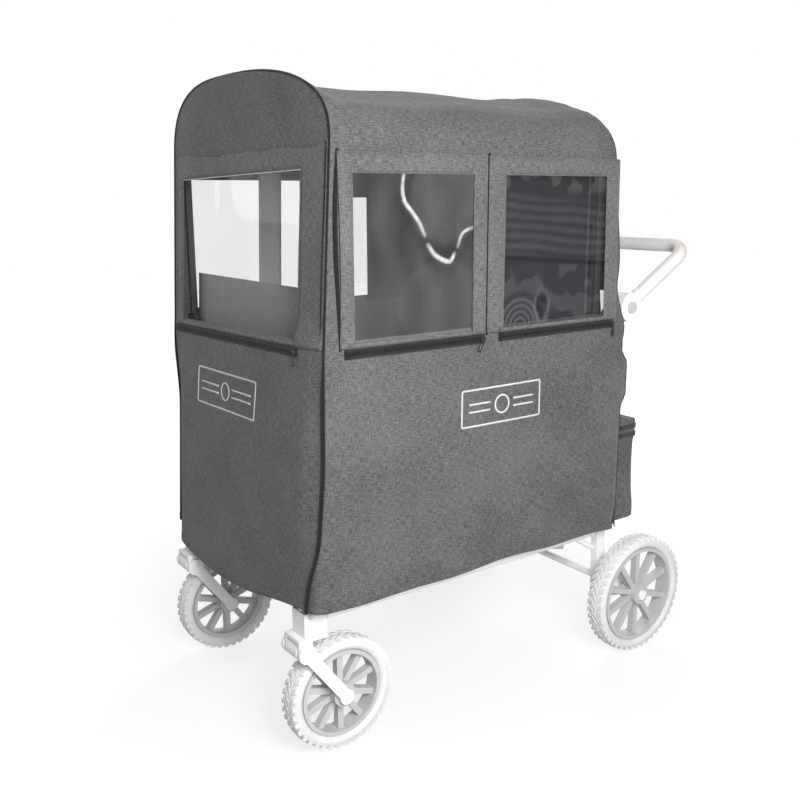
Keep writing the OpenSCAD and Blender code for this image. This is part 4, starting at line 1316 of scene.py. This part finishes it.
def badge(name, a_span, z_span, place):
    """A printed outline with rounded corners, and a ring between short lines, following the cloth."""
    line, corner = 0.0042, 0.006

    def outline(inset):
        pts = []
        (a0, a1), (z0, z1) = a_span, z_span
        a0, a1, z0, z1 = a0 + inset, a1 - inset, z0 + inset, z1 - inset
        r = max(0.001, corner - inset)
        centres = [(a1 - r, z1 - r, 0), (a0 + r, z1 - r, 90), (a0 + r, z0 + r, 180), (a1 - r, z0 + r, 270)]
        for ca, cz, start in centres:
            for k in range(7):
                t = math.radians(start + 15 * k)
                pts.append((ca + r * math.cos(t), cz + r * math.sin(t)))
        fine = []
        for (x0, y0), (x1, y1) in zip(pts, pts[1:] + pts[:1]):
            n = max(1, round(math.hypot(x1 - x0, y1 - y0) / 0.008))
            fine += [(x0 + (x1 - x0) * k / n, y0 + (y1 - y0) * k / n) for k in range(n)]
        return fine

    mid_a, mid_z = sum(a_span) / 2, sum(z_span) / 2
    loops = [(outline(line / 2), True)]
    loops.append(([(mid_a + 0.020 * math.cos(t), mid_z + 0.020 * math.sin(t))
                   for t in span(0, 2 * math.pi, 48)[:-1]], True))
    reach = (a_span[1] - a_span[0]) / 2 - 0.022
    for side in (-1, 1):
        for dz in (0.0085, -0.0085):
            loops.append(([(mid_a + side * a, mid_z + dz) for a in span(0.034, reach, 8)], False))
    parts = []
    for flat, closed in loops:
        pts = [place(a, z) for a, z in flat]
        w, t = line / 2, 0.0005
        shape = [(-w, -t), (-w, t * 0.6), (-w * 0.8, t), (w * 0.8, t), (w, t * 0.6), (w, -t)]
        n = len(pts)

        def side_dir(i, pts=pts, n=n, closed=closed):
            before = pts[i - 1] if closed or i else pts[i]
            after = pts[(i + 1) % n] if closed or i < n - 1 else pts[i]
            return (after - before).normalized().cross(place.out)

        parts.append(sweep("badge_part", pts, lambda i: shape, "badge_print", closed=closed, side=side_dir))
    return join(name, parts)


def badges():
    """The two printed badges, without lettering."""

    def on_side(a, z):
        return side_point(a, z, -1) + Vector((0, -0.0011, 0))

    def on_front(y, z):
        return front_point(y, z, 0.0011)

    on_side.out = Vector((0, -1, 0))
    on_front.out = Vector((-1, 0, 0))
    obj = badge("badge_side", (-0.068, 0.165), (0.680, 0.765), on_side)
    piece(obj, "chassis", "badge_print", "emblems")
    obj = badge("badge_front", (-0.095, 0.205), (0.690, 0.778), on_front)
    piece(obj, "chassis", "badge_print")


def pouch_outline(z):
    """The storage pouch's plan at a height: (front x, rear x, half width)."""
    rear = 0.541 + 0.007 * smooth((0.43 - z) / 0.06) + 0.006 * smooth((z - 0.55) / 0.02)
    return 0.4745, rear, 0.3215


def storage_pouch():
    """A sagging cloth pocket behind the rear wall, with a folded-over lid."""

    def plan(z, inset=0.0, lift=0.0):
        front, rear, half = pouch_outline(z)
        front, rear, half = front + inset * 0.3, rear - inset, half - inset
        r = 0.016
        ys = span(-half + r, half - r, 34)

        def corner(x, y, start):
            turns = [math.radians(start + 18 * k) for k in range(1, 6)]
            return [(x + r * math.cos(t), y + r * math.sin(t)) for t in turns]

        pts = [(front + 0.001, y) for y in reversed(ys)]
        pts += corner(front + r, -half + r, 180)
        pts += [(x, -half) for x in span(front + r, rear - r, 3)[1:]]
        pts += corner(rear - r, -half + r, 270)
        pts += [(rear, y) for y in ys]
        pts += corner(rear - r, half - r, 0)
        pts += [(x, half) for x in span(rear - r, front + r, 3)[1:]]
        pts += corner(front + r, half - r, 90)
        out = []
        for x, y in pts:
            loose = smooth((x - 0.49) / 0.03)
            wave = 0.0030 * loose * ripple(y * 5, z * 7, 81.0) + 0.0022 * loose * ripple(y * 13, z * 9, 83.0)
            sag = 0.006 * math.cos(math.pi * y / (2 * half)) * smooth((0.40 - z) / 0.05)
            slope = lift * (x - front) / (rear - front)
            out.append(cabin(x + wave, y, z - sag * 0.3 + slope))
        return out

    base = [(0.344, 0.030), (0.344, 0.012), (0.346, 0.004)]
    walls = [(z,) for z in [0.350] + span(0.36, 0.60, 22)]
    lid = [(0.612, 0.0, -0.002), (0.620, 0.003, -0.010), (0.6235, 0.009, -0.013), (0.6245, 0.018, -0.013),
           (0.6250, 0.026, -0.013)]
    rows = [plan(*spec) for spec in base + walls + lid]
    obj = grid("storage_pouch_shell", rows, "cover_fabric", None, 0.0016, loop_u=True)
    piece(obj, "chassis", "cover_fabric", "storage_pouch")
    for tag, z in (("lower", 0.5725), ("upper", 0.5935)):
        line = []
        for p in plan(z):
            away_x = 0.0018 if p.x > CABIN_X + 0.49 else 0.0
            away_y = math.copysign(0.0016, p.y) if abs(p.y) > 0.3 else 0.0
            line.append(p + Vector((away_x, away_y, 0)))
        w, t = 0.0055, 0.0009
        shape = [(-w, -t), (-w, t), (w, t), (w, -t)]
        obj = sweep("pouch_band_" + tag, line, lambda i: shape, "webbing", closed=True,
                    side=Vector((0, 0, 1)))
        piece(obj, "chassis", "webbing", *(("pouch_straps",) if tag == "lower" else ()))
    fold = [cabin(0.478 + 0.062 * t, -0.3232, 0.6095 - 0.004 * t) for t in span(0, 1, 8)]
    stitch("chassis", fold, [Vector((0, -1, 0))] * 9)


# ---------------------------------------------------------------- inside: tub, seats, curtains

TUB_LOW = 0.352
SEAT_Y = 0.152  # middle of a seat
CUSHION_SIZE = Vector((0.257, 0.262, 0.075))
CUSHION_Z = 0.5075
BACK_Z = 0.556
BACK_HALF = (0.022, 0.131)  # half thickness and half width
BACK_HEIGHTS = {"front": 0.438, "rear": 0.480}


def tub():
    """The tub's cloth walls and its padded floor board."""
    made = []
    for name, side in SIDES:
        rows = []
        for z in knots([TUB_LOW, 0.885], 0.02):
            line = []
            for x in knots([-0.372, 0.398], 0.02):
                line.append(cabin(x, side * (0.301 + 0.003 * ripple(x * 6, z * 5, 91.0 + side)), z))
            rows.append(line)
        made.append((grid(f"tub_wall_{name}", rows, "inner_fabric", None, 0.003), 0.77, 0.533))
    rail_y, rail_top = 0.268, 0.874
    ys = knots([-0.300, -rail_y, rail_y, 0.300], 0.02)
    zs = knots([TUB_LOW, rail_top, 0.991], 0.02)
    rows = [[cabin(front_x(z) + 0.040 - 0.003 * ripple(y * 6, z * 5, 95.0), y, z) for y in ys] for z in zs]

    def beside_rails(i, j):
        return middle(zs, i) < rail_top and abs(middle(ys, j)) > rail_y

    made.append((grid("tub_wall_front", rows, "lining_fabric", beside_rails, 0.003), 0.60, 0.640))
    rows = []
    for z in knots([TUB_LOW, 0.929], 0.02):
        rows.append([cabin(0.399 + 0.002 * ripple(y * 6, z * 5, 97.0), y, z)
                     for y in knots([-0.295, 0.295], 0.02)])
    made.append((grid("tub_wall_rear", rows, "inner_fabric", None, 0.003), 0.59, 0.577))
    for k, (obj, width, height) in enumerate(made):
        piece(obj, "chassis", "inner_fabric", *(("tub_walls",) if k == 0 else ()))
    low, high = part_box("floor_panel")
    obj = rounded_block("floor_board_padded", low, high, 0.004, "floor_board")
    piece(obj, "chassis", "floor_board", "floor_panel")


def puff(name, low, high, cap, voxel=0.007):
    low, high = Vector(low), Vector(high)
    inset = 0.006
    obj = rounded_block(name, low + Vector([inset] * 3), high - Vector([inset] * 3), 0.012, "seat_fabric")
    remesh = obj.modifiers.new("even", "REMESH")
    remesh.mode = "VOXEL"
    remesh.voxel_size = voxel
    apply_modifiers(obj)
    start = [v.co.copy() for v in obj.data.vertices]
    cloth = obj.modifiers.new("cloth", "CLOTH")
    cloth.settings.effector_weights.gravity = 0
    cloth.settings.use_pressure = True
    cloth.settings.uniform_pressure_force = 4.0
    cloth.settings.quality = 4
    scene = bpy.context.scene
    for f in range(1, 17):
        scene.frame_set(f)
    apply_modifiers(obj)
    for v, s in zip(obj.data.vertices, start):
        move = v.co - s
        if move.length > cap:
            v.co = s + move.normalized() * cap
        for k in range(3):
            v.co[k] = min(high[k], max(low[k], v.co[k]))
    scene.frame_set(1)
    sub = obj.modifiers.new("skin", "SUBSURF")
    sub.levels = 1
    apply_modifiers(obj)
    obj.data.materials.clear()
    obj.data.materials.append(M["seat_fabric"])
    obj.data.polygons.foreach_set("use_smooth", [True] * len(obj.data.polygons))
    return obj


def copy_of(obj, name, shift, turn):
    """A copy of obj with its own mesh, turned and then moved."""
    new = bpy.data.objects.new(name, obj.data.copy())
    bpy.context.scene.collection.objects.link(new)
    new.data.transform(turn)
    new.data.transform(Matrix.Translation(shift))
    return new


def seats():
    """Four seats: cushions and backs, inflated as cloth, with sewn channels and piping."""
    base = puff("cushion_source", -CUSHION_SIZE / 2, CUSHION_SIZE / 2, 0.012)
    thick, wide = BACK_HALF
    backs = {
        end: puff(f"back_{end}_source", (-thick, -wide, 0.0), (thick, wide, height), 0.010)
        for end, height in BACK_HEIGHTS.items()
    }
    for v in base.data.vertices:
        if v.co.z > 0:
            line = min(abs(v.co.x - 0.05), abs(v.co.x + 0.05))
            v.co.z -= 0.005 * math.exp(-((line / 0.006) ** 2)) * smooth((0.12 - abs(v.co.y)) / 0.02)
    for end, height in BACK_HEIGHTS.items():
        for v in backs[end].data.vertices:
            for at in (0.30, 0.52, 0.74):
                near = abs(v.co.z - height * at)
                grip = math.exp(-((near / 0.007) ** 2)) * smooth((0.120 - abs(v.co.y)) / 0.02)
                v.co.x -= math.copysign(0.004, v.co.x) * grip * smooth(abs(v.co.x) / 0.012)
            wing = smooth((v.co.z - height + 0.09) / 0.09)
            v.co.y *= 1 - 0.16 * wing * wing
    places = {"front": (-0.2435, -0.330, -1.5), "rear": (0.2435, 0.348, 2.0)}
    for end, (cx, bx, lean) in places.items():
        for name, side in SIDES:
            y = side * SEAT_Y
            key = f"{end}_{name}"
            obj = copy_of(base, "seat_cushion_" + key, cabin(cx, y, CUSHION_Z), Matrix.Identity(4))
            piece(obj, "chassis", "seat_fabric", *(("seat_cushions",) if key == "front_near" else ()))
            turn = Matrix.Rotation(math.radians(lean), 4, "Y")
            obj = copy_of(backs[end], "seat_back_" + key, cabin(bx, y, BACK_Z), turn)
            piece(obj, "chassis", "seat_fabric", *(("seat_backs",) if key == "front_near" else ()))
            inward = 1 if end == "front" else -1
            loop = []
            for t in span(0, 2 * math.pi, 60)[:-1]:
                px = 0.122 * math.copysign(abs(math.cos(t)) ** 0.25, math.cos(t))
                py = 0.124 * math.copysign(abs(math.sin(t)) ** 0.25, math.sin(t))
                loop.append(cabin(cx + px, y + py, CUSHION_Z))
            pipe = cord_of("cushion_piping_" + key, loop, 0.0030, "seat_piping", closed=True)
            piece(pipe, "chassis", "seat_fabric")
            harness(end, name, side, inward)
    for source in (base, *backs.values()):
        bpy.data.objects.remove(source)


def harness(end, name, side, inward):
    """Two shoulder straps and a buckle for one seat."""
    y0 = side * SEAT_Y
    key = f"{end}_{name}"
    face = -0.3045 if end == "front" else 0.3180
    top = 0.897 if end == "front" else 0.927
    first = end == "front" and name == "near"
    for tag, dy in (("a", -0.045), ("b", 0.045)):
        pts = []
        for k, z in enumerate(span(0.585, top, 26)):
            t = k / 26
            spread = dy * (0.35 + 0.65 * smooth(t * 1.6))
            pts.append(cabin(face + inward * (0.0015 + 0.002 * math.sin(7 * t)), y0 + spread, z))
        obj = ribbon(f"harness_strap_{key}_{tag}", pts, 0.025, 0.0018, Vector((0, 1, 0)), "webbing")
        piece(obj, "chassis", "webbing", *(("harness_straps",) if first and tag == "a" else ()))
    low = cabin(face - 0.004 * inward, y0 - 0.024, 0.562)
    high = cabin(face + 0.012 * inward, y0 + 0.024, 0.613)
    lo = Vector([min(a, b) for a, b in zip(low, high)])
    hi = Vector([max(a, b) for a, b in zip(low, high)])
    obj = rounded_block("buckle_" + key, lo, hi, 0.005, "black_plastic", 0.001)
    piece(obj, "chassis", "black_plastic", *(("harness_buckles",) if first else ()))


def curtains():
    """The wagon's own shade curtains, let down inside the cover."""
    specs = [
        ("far_rear", 0.3230, [0.012, 0.144, 0.336], [0.893, 1.170, 1.235]),
        ("far_front", 0.3230, [-0.190, -0.127], [0.868, 1.235]),
        ("near_rear", -0.3230, [0.030, 0.336], [0.893, 1.235]),
    ]
    for k, (name, y, x_edges, z_edges) in enumerate(specs):
        xs, zs = knots(x_edges, 0.010), knots(z_edges, 0.014)
        rows = []
        for z in zs:
            drift = 0.035 * (z - 1.05) if name == "far_front" else 0.0
            rows.append([
                cabin(x + drift, y + 0.0012 * math.sin(60 * x) + 0.001 * ripple(x * 9, z * 6, 101.0 + k), z)
                for x in xs
            ])

        def skip(i, j, xs=xs, zs=zs, cut=name == "far_rear"):
            return cut and middle(xs, j) < 0.144 and middle(zs, i) < 1.170

        # The far front curtain takes the lighter lining copy, painted backlight.
        shade = "painted_backlight_lining" if name == "far_front" else "shade_mesh"
        obj = grid("shade_curtain_" + name, rows, shade, skip, 0.0012)
        piece(obj, "chassis", "inner_fabric", *(("canopy_curtains",) if k == 0 else ()))


# ---------------------------------------------------------------- wheels and handle

TYRE_DEPTH = 0.030  # from the tread to the rim's seat

def tyre(key, centre, radius, width, depth, body, node):
    """A treaded tyre: rounded carcass, ribs on the sidewalls and two rows of shoulder blocks."""
    w = width / 2
    crown = radius - 0.0014
    inner = radius - depth
    half = [
        (inner, 0.62), (inner + 0.004, 0.80), (inner + 0.010, 0.95), (inner + 0.014, 0.97),
        (inner + 0.016, 0.93), (inner + 0.020, 0.92), (crown - 0.006, 0.82), (crown - 0.002, 0.62),
        (crown - 0.0004, 0.36),
    ]
    outline = [(r, -w * out) for r, out in half] + [(crown, 0.0)] + [(r, w * out) for r, out in half[::-1]]
    carcass = turned("tyre_carcass", outline, centre, "tyre_rubber")
    verts, faces = [], []

    def block(angle, turn_half, y0, y1, r0, r1, skew):
        base = len(verts)
        for a in (-1, 1):
            for y in (y0, y1):
                for r, shrink in ((r0, 1.0), (r1, 0.82)):
                    t = angle + a * turn_half * shrink + skew * (y - (y0 + y1) / 2)
                    yy = (y0 + y1) / 2 + (y - (y0 + y1) / 2) * shrink
                    drop = 0.0 if r == r0 else 0.0020 * (abs(yy) / w) ** 3
                    verts.append(centre + Vector(((r - drop) * math.cos(t), yy, (r - drop) * math.sin(t))))
        faces.extend(box_faces(base))

    count = 44 if radius > 0.14 else 38
    step = math.pi / count
    top = radius - 0.0002
    for k in range(count):
        angle = 2 * math.pi * k / count
        block(angle, step * 0.62, -w * 0.93, -w * 0.42, crown - 0.010, top, 6.0)
        block(angle + step, step * 0.62, w * 0.42, w * 0.93, crown - 0.010, top, 6.0)
        block(angle + step / 2, step * 0.55, -w * 0.30, -w * 0.02, crown - 0.006, top, -9.0)
        block(angle + step * 1.5, step * 0.55, w * 0.02, w * 0.30, crown - 0.006, top, -9.0)
    blocks = mesh_object("tyre_blocks", verts, faces, "tyre_rubber", smooth_shade=False)
    obj = join("tyre_" + key, [carcass, blocks])
    piece(obj, body, "tyre_rubber", node)


def wheels():
    """A detailed tyre on each wheel."""
    for name, _ in SIDES:
        for end in ("front", "rear"):
            node = f"{end}_tyre_{name}"
            low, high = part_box(node)
            centre = (low + high) / 2
            radius = (high.z - low.z) / 2
            tyre(f"{end}_{name}", centre, radius, high.y - low.y, TYRE_DEPTH, f"{end}_wheel_{name}", node)


def handle_path(reach, start):
    """The handle's centre line, from one side to the other: (distance from the pivot line, y)."""
    bend, half = 0.060, 0.330
    turns = [math.pi / 2 * k / 12 for k in range(1, 13)]
    pts = [(u, -half) for u in span(start, reach - bend, 12)]
    pts += [(reach - bend + bend * math.sin(t), -half + bend - bend * math.cos(t)) for t in turns]
    pts += [(reach, y) for y in span(-half + bend, half - bend, 40)[1:]]
    pts += [(reach - bend + bend * math.cos(t), half - bend + bend * math.sin(t)) for t in turns]
    pts += [(u, half) for u in span(reach - bend, start, 12)[1:]]
    return pts


def handle():
    """The padded grip with its stitched seam and end collars."""
    pivot = JOINTS["handle_swing"]["pos_m"]
    tilt = math.radians(31.3)
    flat = handle_path(0.269, 0.048)

    def spot(u, y, lift=0.0):
        return Vector((pivot[0] + u * math.cos(tilt) - lift * math.sin(tilt), y,
                       pivot[2] + u * math.sin(tilt) + lift * math.cos(tilt)))

    pts = [spot(u, y) for u, y in flat]
    up = (spot(0, 0, 1) - spot(0, 0, 0)).normalized()
    n = len(pts)

    def section(i):
        t = min(i, n - 1 - i)
        radius = 0.0172 * (0.90 + 0.10 * smooth(t / 2))
        out = []
        for k in range(28):
            a = 2 * math.pi * k / 28
            seam = 0.0011 * math.exp(-(((a - math.pi * 1.5) / 0.16) ** 2))
            lump = 0.00035 * ripple(i * 0.35, a * 2, 111.0)
            out.append(((radius - seam + lump) * math.cos(a), (radius - seam + lump) * math.sin(a)))
        return out

    def across(i):
        a, b = pts[max(0, i - 1)], pts[min(n - 1, i + 1)]
        return (b - a).normalized().cross(up)

    obj = sweep("handle_grip_wrap", pts, section, "grip_leather", side=across)
    piece(obj, "handle", "grip_leather", "handle_grip")
    for tag, i in (("near", 0), ("far", n - 1)):
        along = (pts[1] - pts[0]).normalized()
        a = pts[i] - along * 0.003
        b = pts[i] + along * 0.007
        collar = sweep("grip_collar_" + tag, [a, a + along * 0.001, b - along * 0.001, b],
                       lambda k: ring(0.0168 if k in (0, 3) else 0.0175, 28), "frame_plastic")
        piece(collar, "handle", "frame_plastic")
    seam = [p - up * 0.0166 for p in pts[1:-1]]
    stitch("handle", seam, [-up] * len(seam), pitch=0.006, length=0.004, radius=0.0006)


# ---------------------------------------------------------------- build

shell_rows = cover_shell()
front_wall()
rear_wall(shell_rows)
cover_trim(shell_rows)
side_windows()
front_window()
rear_window()
zips()
badges()
storage_pouch()
tub()
seats()
curtains()
wheels()
handle()
make_stitches()

# ---------------------------------------------------------------- studio


def studio():
    """The floor, the soft lights and the camera at the photograph's angle."""
    floor = mesh_object("studio_floor", [Vector((x, y, 0)) for x, y in ((-9, -9), (9, -9), (9, 9), (-9, 9))],
                        [(0, 1, 2, 3)], plain_floor("studio_floor", (0.25, 0.25, 0.25), 0.75, 0.34))
    world = bpy.data.worlds.new("studio")
    bpy.context.scene.world = world
    world.use_nodes = True
    tree = world.node_tree
    tree.nodes.clear()
    path = put(tree, "LightPath").outputs["Is Camera Ray"]
    seen = put(tree, "Background", {"Color": (1, 1, 1, 1), "Strength": 1.0})
    lit = put(tree, "Background", {"Color": (0.97, 0.985, 1, 1), "Strength": 0.34})
    mix = put(tree, "MixShader", {0: path, 1: lit.outputs[0], 2: seen.outputs[0]})
    tree.links.new(mix.outputs[0], put(tree, "OutputWorld").inputs[0])
    lamps = [
        ("key", (-0.70, -1.82, 1.36), (-0.28, -0.30, 0.72), (1.0, 0.9), 42),
        ("strip", (-1.10, -2.30, 2.05), (-0.34, -0.35, 1.10), (0.22, 0.9), 9),
        ("left", (-1.30, 1.00, 1.50), (-0.45, 0.20, 0.62), (0.8, 0.8), 5.0),
        ("back", (2.20, 1.70, 1.90), (0.30, 0.15, 0.60), (1.5, 1.5), 42),
    ]
    for name, at, to, size, power in lamps:
        data = bpy.data.lights.new(name, "AREA")
        data.shape = "RECTANGLE"
        data.size, data.size_y = size
        data.energy = power
        lamp = bpy.data.objects.new(name, data)
        lamp.location = at
        lamp.rotation_euler = (Vector(to) - Vector(at)).to_track_quat("-Z", "Y").to_euler()
        lamp.visible_camera = False
        bpy.context.scene.collection.objects.link(lamp)
    data = bpy.data.cameras.new("camera")
    data.lens = 41.04
    data.sensor_width = 36.0
    camera = bpy.data.objects.new("camera", data)
    camera.location = (-1.4040, -1.8236, 1.1684)
    yaw, pitch, roll = math.radians(35.61), math.radians(12.495), math.radians(0.256)
    forward = Vector((math.sin(yaw) * math.cos(pitch), math.cos(yaw) * math.cos(pitch), -math.sin(pitch)))
    turn = forward.to_track_quat("-Z", "Y") @ Matrix.Rotation(-roll, 3, "Z").to_quaternion()
    camera.rotation_euler = turn.to_euler()
    bpy.context.scene.collection.objects.link(camera)
    bpy.context.scene.camera = camera
    bpy.context.scene.view_settings.view_transform = "Standard"


studio()
